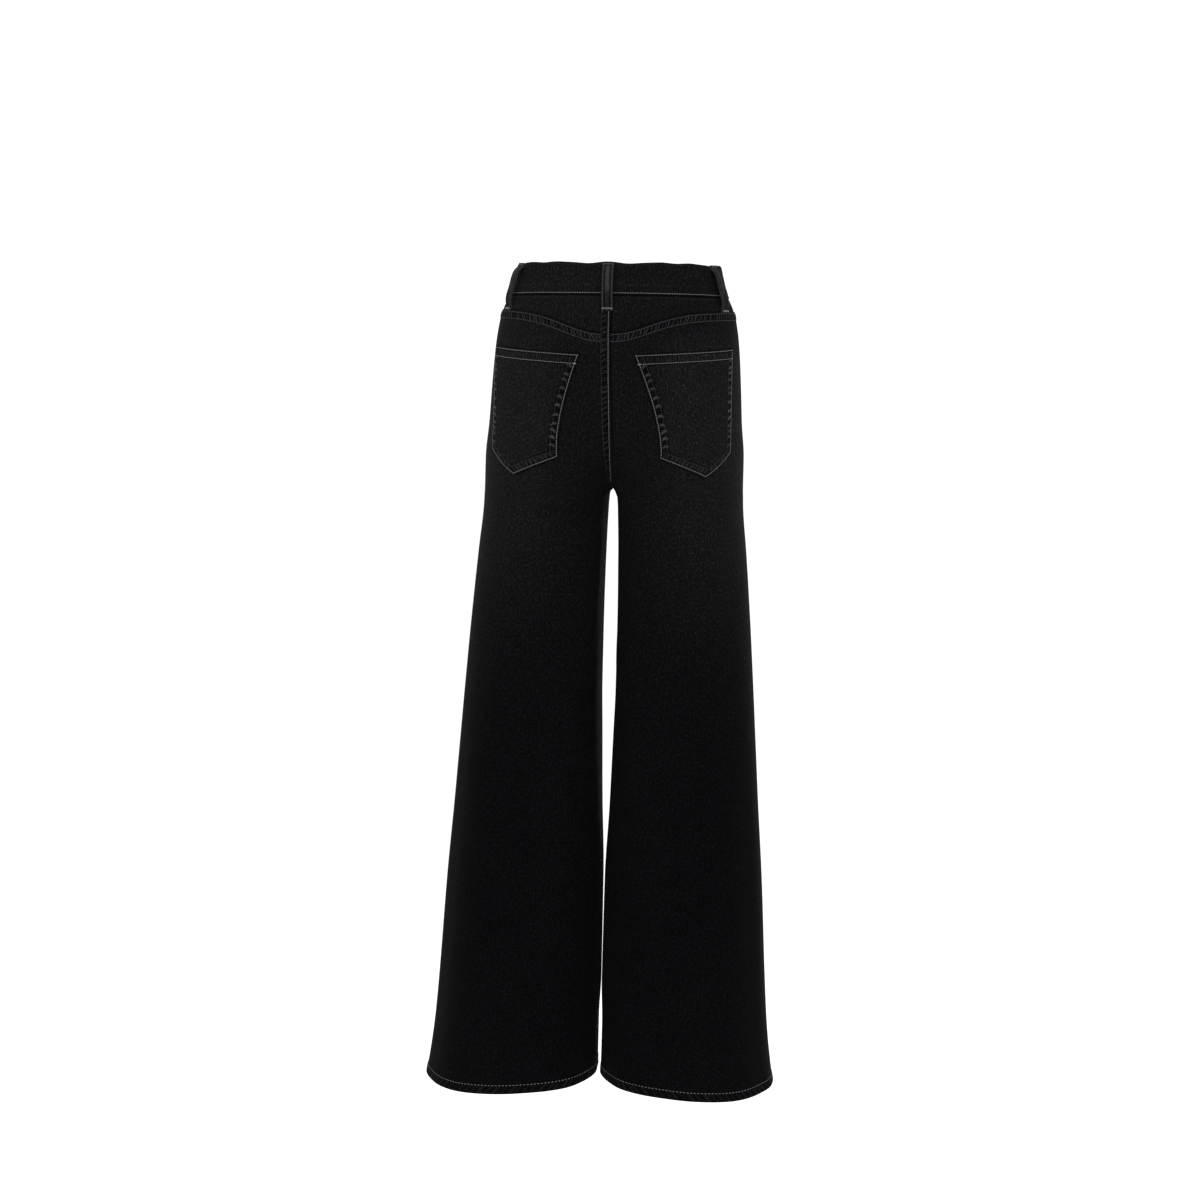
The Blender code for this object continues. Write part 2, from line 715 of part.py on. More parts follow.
def make_button():
    """Turned cap that closes the band in front."""
    height = band_middle(-90)
    x = BUTTON_FROM_CENTRE
    base = Vector((x, front_depth(x, height) - BAND_DENIM / 2 - SEAM_GAP, height))
    step = BUTTON_SLOPE_STEP
    slope_x = (front_depth(x + step, height) - front_depth(x - step, height)) / (2 * step)
    slope_z = (front_depth(x, height + step) - front_depth(x, height - step)) / (2 * step)
    out = Vector((slope_x, -1, slope_z)).normalized()
    across = Vector((0, 0, 1)).cross(out).normalized()
    up = out.cross(across)
    points, faces = [base], []
    for radius, rise in BUTTON_PROFILE:
        for segment in range(BUTTON_SEGMENTS):
            turn = 2 * math.pi * segment / BUTTON_SEGMENTS
            spoke = across * math.cos(turn) + up * math.sin(turn)
            points.append(base + spoke * radius + out * rise)
    points.append(base + out * BUTTON_PROFILE[-1][1])
    last = len(points) - 1
    first_of_last = last - BUTTON_SEGMENTS
    for segment in range(BUTTON_SEGMENTS):
        following = (segment + 1) % BUTTON_SEGMENTS
        faces.append((0, 1 + following, 1 + segment))
        faces.append((last, first_of_last + segment, first_of_last + following))
        for ring_index in range(len(BUTTON_PROFILE) - 1):
            low = 1 + ring_index * BUTTON_SEGMENTS
            high = low + BUTTON_SEGMENTS
            faces.append((low + segment, low + following, high + following, high + segment))
    make_object("waist_button", points, faces, "dark metal")


def build():
    clear_scene()
    for side, word in ((1, "left"), (-1, "right")):
        make_back(side, f"back_{word}")
        make_front(side, f"front_{word}")
        make_yoke(side, f"yoke_{word}")
        make_facing(side, f"front_pocket_facing_{word}")
        make_back_pocket(side, f"back_pocket_{word}", BACK_POCKET_DRIFT[word])
        make_belt_loop(side, BACK_SIDE_LOOPS[word], f"belt_loop_back_{word}")
        make_belt_loop(side, FRONT_LOOP, f"belt_loop_front_{word}")
    make_waistband(1, "waistband_left", ())
    make_waistband(-1, "waistband_right", UNDERLAP)
    make_belt_loop(1, 90, "belt_loop_centre_back")
    make_fly()
    make_button()


build()
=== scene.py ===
# Wide leg jeans in washed black denim, hollow, in the shape they have when worn.
# Cloth shells, stitches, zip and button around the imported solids. Metres, +Z up, front at -Y.
import math

import bpy
import numpy as np
from mathutils import Matrix, Vector


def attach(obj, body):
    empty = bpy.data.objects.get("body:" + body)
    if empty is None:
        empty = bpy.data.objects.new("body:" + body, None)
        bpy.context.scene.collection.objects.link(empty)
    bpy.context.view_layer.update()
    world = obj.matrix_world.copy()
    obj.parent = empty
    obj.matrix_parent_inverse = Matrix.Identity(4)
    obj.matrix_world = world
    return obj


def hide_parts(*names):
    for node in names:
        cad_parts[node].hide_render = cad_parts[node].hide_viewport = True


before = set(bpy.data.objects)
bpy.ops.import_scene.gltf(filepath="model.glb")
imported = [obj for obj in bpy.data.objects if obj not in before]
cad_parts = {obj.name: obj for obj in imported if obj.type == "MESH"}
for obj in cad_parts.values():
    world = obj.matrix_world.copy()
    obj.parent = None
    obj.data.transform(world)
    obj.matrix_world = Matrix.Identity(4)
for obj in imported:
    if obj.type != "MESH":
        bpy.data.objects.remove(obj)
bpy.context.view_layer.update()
print("packed solids loaded:", len(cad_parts))

# The worn shape, from the same sizes as the solids

cut = {
    "denim": 0.0014,
    "bandDenim": 0.0026,
    "loopDenim": 0.0020,
    "hemDenim": 0.0026,
    "seamGap": 0.0003,
    "layGap": 0.0006,
    "patchGap": 0.0010,
    "flyGap": 0.0013,
    "crotchHeight": -0.276,
    "seatBlend": 0.200,
    "seatCurve": 1.5,
    "sideSeam": -4.0,
    "bandHalfHeight": 0.0205,
    "hemTurn": 0.013,
    "stanceLean": 0.0136,
    "waistTwist": 0.078,
    "twistHeights": (-0.25, 0.05),
}
bandMiddleLine = {"back": -0.0005, "side": -0.0050, "front": -0.0120}
hemEdgeLine = {"outer": -1.0772, "back": -1.0822, "inner": -1.0662, "front": -1.0690}
yokeSeamLine = {"back": -0.0705, "side": -0.0435, "bend": 6.0, "ease": 2.9}

sectionColumns = ("height", "outer", "inner", "front", "back", "corner")
sections = (
    (0.030, 0.1285, 0.00015, -0.0920, 0.0920, 2.15),
    (-0.020, 0.1415, 0.00015, -0.0995, 0.0990, 2.15),
    (-0.050, 0.1535, 0.00015, -0.1035, 0.1060, 2.15),
    (-0.090, 0.1600, 0.00015, -0.1060, 0.1140, 2.15),
    (-0.140, 0.1638, 0.00015, -0.1065, 0.1203, 2.15),
    (-0.190, 0.1667, 0.00015, -0.1050, 0.1228, 2.15),
    (-0.235, 0.1705, 0.00015, -0.1025, 0.1200, 2.15),
    (-0.276, 0.1708, 0.00015, -0.1000, 0.1150, 2.15),
    (-0.283, 0.1711, 0.00660, -0.0995, 0.1140, 2.15),
    (-0.300, 0.1718, 0.00800, -0.0985, 0.1115, 2.15),
    (-0.360, 0.1778, 0.00980, -0.0960, 0.1050, 2.15),
    (-0.450, 0.1858, 0.01080, -0.0935, 0.0993, 2.15),
    (-0.540, 0.1928, 0.01060, -0.0917, 0.0968, 2.15),
    (-0.600, 0.1972, 0.00900, -0.0905, 0.0953, 2.15),
    (-0.700, 0.2045, 0.00620, -0.0890, 0.0933, 2.15),
    (-0.800, 0.2125, 0.00180, -0.0875, 0.0920, 2.12),
    (-0.940, 0.2212, 0.00100, -0.0862, 0.0910, 2.10),
    (-1.000, 0.2258, 0.00320, -0.0860, 0.0907, 2.10),
    (-1.050, 0.2318, 0.00300, -0.0864, 0.0910, 2.10),
    (-1.090, 0.2385, 0.00120, -0.0872, 0.0920, 2.10),
)

# Leg is 1 for the wearer's left, -1 for the right, 0 for both; rise is over the smooth cloth
foldColumns = ("leg", "aroundTop", "heightTop", "aroundLow", "heightLow", "halfWidth", "rise")
folds = (
    (1, 162, -0.315, 140, -0.480, 0.010, 0.0026),
    (1, 151, -0.560, 142, -0.690, 0.011, 0.0020),
    (1, 122, -0.300, 150, -0.345, 0.009, -0.0016),
    (-1, 122, -0.288, 150, -0.345, 0.010, -0.0024),
    (-1, 50, -0.310, 62, -0.450, 0.016, 0.0020),
    (-1, 154, -0.470, 158, -0.500, 0.008, 0.0018),
    (0, 66, -0.360, 58, -1.080, 0.022, 0.0024),
    (0, 96, -0.420, 101, -1.080, 0.020, -0.0026),
    (0, 128, -0.560, 133, -1.080, 0.018, 0.0022),
    (1, 30, -0.500, 24, -1.080, 0.018, -0.0018),
    (-1, 34, -0.640, 29, -1.080, 0.018, -0.0020),
    (0, -62, -0.340, -55, -1.080, 0.024, 0.0028),
    (0, -95, -0.380, -100, -1.080, 0.020, -0.0026),
    (0, -132, -0.520, -130, -1.080, 0.020, 0.0022),
    (0, -152, -0.270, -112, -0.236, 0.009, 0.0020),
    (0, -140, -0.292, -95, -0.280, 0.010, -0.0018),
)
# Smaller creases, only in the cloth shells
creases = (
    (1, 157, -0.292, 128, -0.318, 0.0060, -0.0012),
    (-1, 150, -0.290, 124, -0.312, 0.0060, -0.0014),
    (-1, 133, -0.282, 146, -0.318, 0.0055, 0.0012),
    (1, 147, -0.352, 139, -0.402, 0.0070, -0.0012),
    (-1, 148, -0.345, 139, -0.392, 0.0075, -0.0010),
    (-1, 73, -0.640, 99, -0.652, 0.0080, -0.0009),
    (1, 78, -0.612, 104, -0.628, 0.0090, -0.0010),
    (1, 62, -0.676, 84, -0.668, 0.0075, 0.0007),
    (-1, 60, -0.600, 82, -0.612, 0.0070, 0.0007),
    (1, -126, -0.262, -88, -0.214, 0.0070, -0.0013),
    (-1, -128, -0.258, -84, -0.221, 0.0070, -0.0013),
    (1, -118, -0.240, -72, -0.206, 0.0060, 0.0010),
    (-1, -122, -0.243, -78, -0.198, 0.0062, 0.0011),
    (1, -70, -0.610, -112, -0.624, 0.0090, -0.0009),
    (-1, -66, -0.596, -104, -0.606, 0.0085, -0.0009),
    (-1, -80, -0.650, -116, -0.640, 0.0080, 0.0007),
)

bendStep = 0.4  # degrees
dropStep = 0.0015


def blendTo(start, end, share):
    return start + (end - start) * share


def softStep(low, high, value):
    share = np.clip((value - low) / (high - low), 0, 1)
    return share * share * (3 - 2 * share)


def denseColumns(step=0.0005):
    # every column of the section table on a smooth curve through its rows, without overshoot
    table = np.array(sections)
    heights = np.arange(table[0, 0], table[-1, 0] - step / 2, -step)
    index = np.clip(np.searchsorted(-table[:, 0], -heights, side="right") - 1, 0, len(table) - 2)
    run = table[index + 1, 0] - table[index, 0]
    t = (heights - table[index, 0]) / run
    found = {"height": heights}
    for place, name in enumerate(sectionColumns[1:], start=1):
        values = table[:, place]
        between = np.diff(values) / np.diff(table[:, 0])
        above, below = between[:-1], between[1:]
        safe = np.where(above * below > 0, above + below, 1)
        inside = np.where(above * below > 0, 2 * above * below / safe, 0)
        slope = np.concatenate([between[:1], inside, between[-1:]])
        found[name] = (
            (2 * t**3 - 3 * t**2 + 1) * values[index]
            + (t**3 - 2 * t**2 + t) * run * slope[index]
            + (3 * t**2 - 2 * t**3) * values[index + 1]
            + (t**3 - t**2) * run * slope[index + 1]
        )
    return found


dense = denseColumns()


def sectionAt(name, height):
    return np.interp(-height, -dense["height"], dense[name])


def stance(x, y, height):
    # sideways place of a point of the even garment, with its drift and its turned waist
    twist = cut["waistTwist"] * softStep(*cut["twistHeights"], height)
    return x - cut["stanceLean"] * height + twist * y


def ringAt(height):
    # centre and reach of the wall's middle at each height: a whole leg below the crotch, and
    # above it a ring that is cut at the centre seams
    half = cut["denim"] / 2
    crotch = cut["crotchHeight"]
    low = height < crotch
    outer = sectionAt("outer", height) - half
    innerLow = cut["seamGap"] / 2 + half
    blend = np.clip(1 - (height - crotch) / cut["seatBlend"], 0, 1)
    share = blend ** cut["seatCurve"]
    seam = cut["seamGap"] / 2 + half * share
    legCentre = (sectionAt("outer", crotch) + sectionAt("inner", crotch)) / 2
    centre = legCentre * blend**2 * (3 - 2 * blend)
    wide = centre > seam
    inner = np.where(wide, (centre - seam) / np.maximum(share, 1e-9), outer)
    share = np.where(wide, share, -(seam - centre) / (outer - centre))
    centre = np.where(low, (outer + innerLow) / 2, centre)
    return {
        "centre": centre,
        "inner": np.where(low, (outer - innerLow) / 2, inner),
        "outer": outer - centre,
        "share": np.where(low, 1.0, share),
        "front": -sectionAt("front", height) - half,
        "back": sectionAt("back", height) - half,
        "corner": sectionAt("corner", height),
        "parting": np.where(low, sectionAt("inner", height) + half - innerLow, 0),
        "low": low,
    }


def centreSeam(height):
    # degrees round the leg of the centre seam, or of the inseam below the crotch
    ring = ringAt(height)
    turned = np.sign(ring["share"]) * np.abs(ring["share"]) ** (ring["corner"] / 2)
    return 180 - np.degrees(np.arccos(np.clip(turned, -1, 1)))


def foldRise(side, around, height, rows):
    total = np.zeros(np.broadcast(around, height).shape)
    depth = sectionAt("back", height)
    for row in rows:
        fold = dict(zip(foldColumns, row))
        if fold["leg"] not in (0, side):
            continue
        run = fold["heightTop"] - fold["heightLow"]
        along = (fold["heightTop"] - height) / run
        held = np.clip(along, 0, 1)
        middle = blendTo(fold["aroundTop"], fold["aroundLow"], held)
        across = np.radians(around - middle) * depth
        away = np.hypot(across, (along - held) * run) / fold["halfWidth"]
        fade = np.sin(np.pi * np.minimum(1, 0.15 + 0.85 * held / 0.5) / 2)
        total += fold["rise"] * fade * np.exp(-away * away)
    return total


def cloth(side, around, height, smooth=False):
    # middle of the wall round one half of the garment; side is 1 for the wearer's left
    around, height = np.broadcast_arrays(np.asarray(around, float), np.asarray(height, float))
    ring = ringAt(height)
    cosine, sine = np.cos(np.radians(around)), np.sin(np.radians(around))
    power = 2 / ring["corner"]
    out = np.sign(cosine) * np.abs(cosine) ** power
    deep = np.sign(sine) * np.abs(sine) ** power
    rise = foldRise(side, around, height, folds)
    if not smooth:
        rise = rise + foldRise(side, around, height, creases)
    x = ring["centre"] + (np.where(out > 0, ring["outer"], ring["inner"]) + rise) * out
    y = (np.where(deep > 0, ring["back"], ring["front"]) + rise) * deep
    edge = (cut["seamGap"] + cut["denim"]) / 2 + ring["parting"]
    parted = (x + edge + np.hypot(x - edge, ring["parting"] / 2)) / 2
    x = np.where(ring["low"], parted, x)
    return np.stack([stance(side * x, y, height), y, height], axis=-1)


def unit(vectors):
    return vectors / np.maximum(np.linalg.norm(vectors, axis=-1, keepdims=True), 1e-12)


def outward(side, around, height):
    turn = cloth(side, around + bendStep, height) - cloth(side, around - bendStep, height)
    drop = cloth(side, around, height + dropStep) - cloth(side, around, height - dropStep)
    return side * unit(np.cross(turn, drop))


def frontDepth(x, height):
    ring = ringAt(height)
    away = np.abs(x) - ring["centre"]
    share = np.abs(np.where(away > 0, away / ring["outer"], away / ring["inner"]))
    return -ring["front"] * (1 - share ** ring["corner"]) ** (1 / ring["corner"])


def bandMiddle(around):
    turn = np.sin(np.radians(around))
    side = bandMiddleLine["side"]
    even = (bandMiddleLine["back"] + bandMiddleLine["front"]) / 2 - side
    odd = (bandMiddleLine["back"] - bandMiddleLine["front"]) / 2
    return side + odd * turn + even * turn * turn


def bandLow(around):
    return bandMiddle(around) - cut["bandHalfHeight"]


def hemEdge(around):
    turn = np.radians(around)
    inwards = (1 - np.cos(turn)) / 2
    base = blendTo(hemEdgeLine["outer"], hemEdgeLine["inner"], inwards)
    middle = (hemEdgeLine["outer"] + hemEdgeLine["inner"]) / 2
    deep = np.where(around > 0, hemEdgeLine["back"], hemEdgeLine["front"])
    return base + (deep - middle) * np.abs(np.sin(turn))


def yokeSeam(share):
    fall = 1 - (1 - share ** yokeSeamLine["bend"]) ** yokeSeamLine["ease"]
    return blendTo(yokeSeamLine["side"], yokeSeamLine["back"], fall)


# Shader building

class Wire:  # a socket that takes part in sums
    def __init__(self, tree, socket):
        self.tree = tree
        self.socket = socket

    def sum(self, operation, first, second):
        return addNode(self.tree, "ShaderNodeMath", {"operation": operation}, {0: first, 1: second})

    def __add__(self, other):
        return self.sum("ADD", self, other)

    def __sub__(self, other):
        return self.sum("SUBTRACT", self, other)

    def __rsub__(self, other):
        return self.sum("SUBTRACT", other, self)

    def __mul__(self, other):
        return self.sum("MULTIPLY", self, other)

    def __truediv__(self, other):
        return self.sum("DIVIDE", self, other)

    def __pow__(self, other):
        return self.sum("POWER", self, other)

    __radd__ = __add__
    __rmul__ = __mul__


def addNode(tree, kind, settings, sockets, output=0):
    node = tree.nodes.new(kind)
    for name, value in settings.items():
        if name == "stops":
            ramp = node.color_ramp
            for place, (position, grey) in enumerate(value):
                stop = ramp.elements[place] if place < 2 else ramp.elements.new(position)
                stop.position = position
                stop.color = (grey, grey, grey, 1)
        else:
            setattr(node, name, value)
    for name, value in sockets.items():
        if isinstance(value, Wire):
            tree.links.new(value.socket, node.inputs[name])
        else:
            node.inputs[name].default_value = value
    return Wire(tree, node.outputs[output])


def newMaterial(name, fixed):
    # a Principled material; fixed holds what is the same all over the surface
    material = bpy.data.materials.new(name)
    material.use_nodes = True
    tree = material.node_tree
    shader = tree.nodes["Principled BSDF"]
    for socket, value in fixed.items():
        shader.inputs[socket].default_value = value
    return material, tree, shader


def connect(tree, shader, wires):
    for name, wire in wires.items():
        tree.links.new(wire.socket, shader.inputs[name])


def mixed(tree, share, first, second):
    return addNode(tree, "ShaderNodeMix", {"data_type": "RGBA"}, {0: share, 6: first, 7: second}, 2)


def bumped(tree, strength, distance, height):
    sockets = {"Strength": strength, "Distance": distance, "Height": height}
    return addNode(tree, "ShaderNodeBump", {}, sockets)


def plainNoise(tree, sockets):
    place = addNode(tree, "ShaderNodeTexCoord", {}, {}, 3)
    return addNode(tree, "ShaderNodeTexNoise", {}, {"Vector": place, **sockets})


def scaled(tree, colour, factor):
    return addNode(tree, "ShaderNodeVectorMath", {"operation": "SCALE"}, {0: colour, 3: factor})


denimLook = {
    "deep": (0.0018, 0.0018, 0.0023),
    "faded": (0.0072, 0.0072, 0.0079),
    "inside": (0.040, 0.040, 0.043),
    "rubbed": (0.062, 0.062, 0.066),
    "twillPitch": 0.00115,
    "twillSlope": 1.9,
    "speckSize": 0.0023,
    "slubWidth": 0.0013,
    "slubLength": 0.022,
    "patchSize": 0.035,
    "patchTone": 0.22,
    # what the pale grain adds to the colour: everywhere, on ribs, on slubs and on specks
    "grain": (0.50, 0.12, 1.3, 1.9),
    "reverseGrain": (0.55, 0.5, 0.8),
    "roughness": 0.90,
    "gloss": 0.02,
    "sheen": 0.010,
    "sheenRoughness": 0.40,
    "weaveHeight": 0.00022,
    "weaveStrength": 0.6,
}


def makeDenim(name, look):
    fixed = {
        "Specular IOR Level": look["gloss"],
        "Sheen Weight": look["sheen"],
        "Sheen Roughness": look["sheenRoughness"],
    }
    material, tree, shader = newMaterial(name, fixed)

    def attribute(word):
        return addNode(tree, "ShaderNodeAttribute", {"attribute_name": word}, {}, 2)

    flat = addNode(tree, "ShaderNodeUVMap", {"uv_map": "cloth"}, {})
    across = addNode(tree, "ShaderNodeSeparateXYZ", {}, {0: flat}, 0)
    along = addNode(tree, "ShaderNodeSeparateXYZ", {}, {0: flat}, 1)

    def noise(width, length, detail, shift):
        place = addNode(
            tree, "ShaderNodeCombineXYZ", {}, {0: across / width, 1: along / length, 2: shift}
        )
        return addNode(
            tree,
            "ShaderNodeTexNoise",
            {"noise_dimensions": "3D"},
            {"Vector": place, "Scale": 1.0, "Detail": detail, "Roughness": 0.6},
        )

    phase = (across + along * look["twillSlope"]) * (2 * math.pi / look["twillPitch"])
    twill = addNode(tree, "ShaderNodeMath", {"operation": "SINE"}, {0: phase}) * 0.5 + 0.5
    specks = noise(look["speckSize"], look["speckSize"] * 1.5, 3.0, 0.0)
    salt = addNode(
        tree, "ShaderNodeValToRGB", {"stops": ((0.50, 0.0), (0.76, 1.0))}, {"Fac": specks}
    )
    slubs = noise(look["slubWidth"], look["slubLength"], 2.0, 4.0)
    patches = noise(look["patchSize"], look["patchSize"] * 1.8, 3.0, 9.0)
    # the fade field holds the wash's fade together with painted light and painted shade; the patches
    # are random tone
    fade = attribute("fade") + (patches - 0.5) * look["patchTone"]
    fade = addNode(tree, "ShaderNodeClamp", {}, {0: fade})
    ground = mixed(tree, fade, (*look["deep"], 1), (*look["faded"], 1))
    base, ribTone, slubTone, speckTone = look["grain"]
    grained = scaled(tree, ground, base + twill * ribTone + (slubs - 0.5) * slubTone + salt * speckTone)
    # the wear field mixes towards the rubbed colour: real wear, and along the yoke's pressed line a
    # painted highlight
    wear = attribute("wear") * (0.70 + salt * 0.5)
    rubbed = mixed(tree, wear, grained, (*look["rubbed"], 1))
    base, ribTone, slubTone = look["reverseGrain"]
    reverse = scaled(tree, look["inside"], base + twill * ribTone + (slubs - 0.5) * slubTone)
    relief = twill * 0.5 + slubs * 0.5 + specks * 0.4
    wires = {
        "Base Color": mixed(tree, attribute("inside"), rubbed, reverse),
        "Roughness": look["roughness"] - salt * 0.08,
        "Normal": bumped(tree, look["weaveStrength"], look["weaveHeight"], relief),
    }
    connect(tree, shader, wires)
    return material


threadLook = {
    # strand, and gap between strands, whose darker colour is painted shade
    "thread": ((0.180, 0.180, 0.186), (0.070, 0.070, 0.074)),
    "tonalThread": ((0.066, 0.066, 0.070), (0.022, 0.022, 0.024)),
    "sunkThread": ((0.030, 0.030, 0.032), (0.010, 0.010, 0.011)),
    "plySize": 0.0006,
    "toneScale": 90.0,
    "roughness": 0.75,
}


def makeThread(name):
    strand, gap = threadLook[name]
    fixed = {"Specular IOR Level": 0.1, "Roughness": threadLook["roughness"]}
    material, tree, shader = newMaterial(name, fixed)
    twist = plainNoise(tree, {"Scale": 1 / threadLook["plySize"], "Detail": 1.0})
    tone = plainNoise(tree, {"Scale": threadLook["toneScale"], "Detail": 2.0})
    # darker where the bump is low: painted shade between the strands, mixed with random tone
    colour = mixed(tree, twist * 0.5 + tone * 0.6, (*gap, 1), (*strand, 1))
    connect(tree, shader, {"Base Color": colour, "Normal": bumped(tree, 0.5, 0.0001, twist)})
    return material


metalLook = {
    "colour": (0.16, 0.155, 0.15),
    "rubbed": (0.42, 0.40, 0.38),
    "brush": 900.0,
    "stains": 260.0,
    "roughness": 0.26,
    "scratched": 0.22,
}


def makeMetal():
    look = metalLook
    material, tree, shader = newMaterial("dark nickel", {"Metallic": 1.0})
    scratch = plainNoise(tree, {"Scale": look["brush"], "Detail": 3.0, "Roughness": 0.7})
    worn = plainNoise(tree, {"Scale": look["stains"], "Detail": 3.0})
    wires = {
        "Base Color": mixed(tree, worn, (*look["colour"], 1), (*look["rubbed"], 1)),
        "Roughness": look["roughness"] + scratch * look["scratched"],
        "Normal": bumped(tree, 0.25, 0.00005, scratch),
    }
    connect(tree, shader, wires)
    return material


tapeLook = {
    "deep": (0.004, 0.004, 0.0045),
    "raised": (0.016, 0.016, 0.017),
    "ribs": 7000.0,
    "weave": 1500.0,
    "roughness": 0.8,
}


def makeTape():
    look = tapeLook
    fixed = {"Specular IOR Level": 0.25, "Roughness": look["roughness"]}
    material, tree, shader = newMaterial("zip tape", fixed)
    place = addNode(tree, "ShaderNodeTexCoord", {}, {}, 3)
    height = addNode(tree, "ShaderNodeSeparateXYZ", {}, {0: place}, 2)
    ribs = addNode(tree, "ShaderNodeMath", {"operation": "SINE"}, {0: height * look["ribs"]})
    weave = plainNoise(tree, {"Scale": look["weave"]})
    # darker in the hollows between the ribs, where the bump is low: painted shade, mixed with random
    # weave tone
    colour = mixed(tree, ribs * 0.25 + weave, (*look["deep"], 1), (*look["raised"], 1))
    connect(tree, shader, {"Base Color": colour, "Normal": bumped(tree, 0.6, 0.0001, ribs)})
    return material


finishes = {
    "denim": makeDenim("washed black denim", denimLook),
    "thread": makeThread("thread"),
    "tonalThread": makeThread("tonalThread"),
    "sunkThread": makeThread("sunkThread"),
    "metal": makeMetal(),
    "tape": makeTape(),
}
print("materials made")

# Shells of cloth


def arcs(points, axis):
    # length along the cloth from the first row or column to each point
    steps = np.linalg.norm(np.diff(points, axis=axis), axis=-1)
    total = np.cumsum(steps, axis=axis)
    start = np.zeros_like(total[:1] if axis == 0 else total[:, :1])
    return np.concatenate([start, total], axis=axis)


def addShell(name, outer, inner, fields, finish, flat=None):
    # a closed wall between two grids of points, with its flat coordinates and its wear
    rows, columns = outer.shape[:2]
    count = rows * columns
    points = np.concatenate([outer.reshape(-1, 3), inner.reshape(-1, 3)])
    index = np.arange(count).reshape(rows, columns)
    a, b = index[:-1, :-1].ravel(), index[:-1, 1:].ravel()
    c, d = index[1:, 1:].ravel(), index[1:, :-1].ravel()
    face = np.stack([a, b, c, d], axis=1)
    back = np.stack([a, d, c, b], axis=1) + count
    border = np.concatenate(
        [index[0, :], index[1:, -1], index[-1, -2::-1], index[-2:0:-1, 0]]
    )
    after = np.roll(border, -1)
    rim = np.stack([after, border, border + count, after + count], axis=1)
    faces = np.concatenate([face, back, rim])
    middle = (rows // 2, columns // 2)
    turn = np.cross(
        outer[middle[0], middle[1] + 1] - outer[middle],
        outer[middle[0] + 1, middle[1]] - outer[middle],
    )
    if np.dot(turn, outer[middle] - inner[middle]) < 0:
        faces = faces[:, ::-1]
    mesh = bpy.data.meshes.new(name)
    mesh.from_pydata(points.tolist(), [], faces.tolist())
    if flat is None:
        flat = np.stack([arcs(outer, 1), arcs(outer, 0)], axis=-1)
    flat = np.concatenate([flat.reshape(-1, 2)] * 2)
    corner = np.empty(len(mesh.loops), dtype=np.int32)
    mesh.loops.foreach_get("vertex_index", corner)
    layer = mesh.uv_layers.new(name="cloth")
    layer.data.foreach_set("uv", flat[corner].ravel().astype(np.float32))
    shown = {"fade": 0.5, "wear": 0.0}
    shown.update(fields)
    for word, value in shown.items():
        values = np.broadcast_to(value, (rows, columns)).ravel()
        known = mesh.attributes.new(word, "FLOAT", "POINT")
        known.data.foreach_set("value", np.concatenate([values, values]).astype(np.float32))
    inside = mesh.attributes.new("inside", "FLOAT", "POINT")
    inside.data.foreach_set("value", np.repeat([0.0, 1.0], count).astype(np.float32))
    mesh.materials.append(finishes[finish])
    mesh.shade_smooth()
    mesh.set_sharp_from_angle(angle=math.radians(50))
    made = bpy.data.objects.new(name, mesh)
    bpy.context.scene.collection.objects.link(made)
    return made


def puckers(along, away, settings):
    # short ridges across a seam, uneven in place, slant and height
    draw = np.random.default_rng(settings["seed"])
    pitch, width = settings["pitch"], settings["width"]
    start, stop = settings["band"]
    off = away - (start + stop) / 2
    count = int(np.max(along) / pitch) + 3
    places = np.cumsum(draw.uniform(0.70, 1.32, count)) * pitch - pitch
    heights = draw.uniform(settings.get("least", 0.35), 1.0, count)
    slants = draw.normal(settings["slant"], 0.18, count)
    total = np.zeros(np.shape(along))
    for place, height, slant in zip(places, heights, slants):
        line = place + slant * off + settings["bow"] * (off / (stop - start)) ** 2
        total += height * np.exp(-(((along - line) / width) ** 2))
    window = softStep(start, start + 0.0012, away) * (1 - softStep(stop - 0.0014, stop, away))
    return (total - width / pitch) * window


def near(distance, line, width):
    # 1 on a line and 0 away from it
    return np.exp(-(((distance - line) / width) ** 2))


def rounded(distance, radius, drop):
    # how far a folded edge falls away towards its border
    return drop * np.clip(1 - distance / radius, 0, 1) ** 2


# How far the wash has faded the cloth, together with painted light on the outer sides and painted shade
# down the middle of the seat and legs: at the outside and in the middle of the seat or leg
fadeAndLightColumns = ("height", "outer", "middle")
fadeAndLightRows = (
    (0.030, 0.80, 0.80),
    (-0.030, 0.76, 0.76),
    (-0.060, 0.76, 0.64),
    (-0.110, 1.15, 0.46),
    (-0.200, 1.20, 0.45),
    (-0.260, 0.92, 0.44),
    (-0.290, 0.84, 0.42),
    (-0.330, 0.80, 0.42),
    (-0.400, 0.52, 0.32),
    (-0.470, 0.28, 0.20),
    (-0.560, 0.10, 0.12),
    (-0.680, 0.03, 0.08),
    (-0.800, 0.02, 0.04),
    (-1.000, 0.06, 0.02),
    (-1.090, 0.14, 0.04),
)
# the right side of the waist is less faded than the left one
lessFaded = {"by": 0.20, "heights": (-0.100, -0.060), "across": (0.015, -0.030)}


# wash fade with painted light and painted shade at each point, from the table
def fadeAndLightAt(points):
    table = dict(zip(fadeAndLightColumns, np.array(fadeAndLightRows).T))
    height = points[..., 2]
    outer = np.interp(-height, -table["height"], table["outer"])
    middle = np.interp(-height, -table["height"], table["middle"])
    x = np.abs(points[..., 0] - stance(0, points[..., 1], height))
    share = softStep(0.25, 0.75, x / sectionAt("outer", height))
    less = lessFaded["by"] * softStep(*lessFaded["heights"], height)
    less = less * softStep(*lessFaded["across"], points[..., 0])
    return blendTo(middle, outer, share) - less


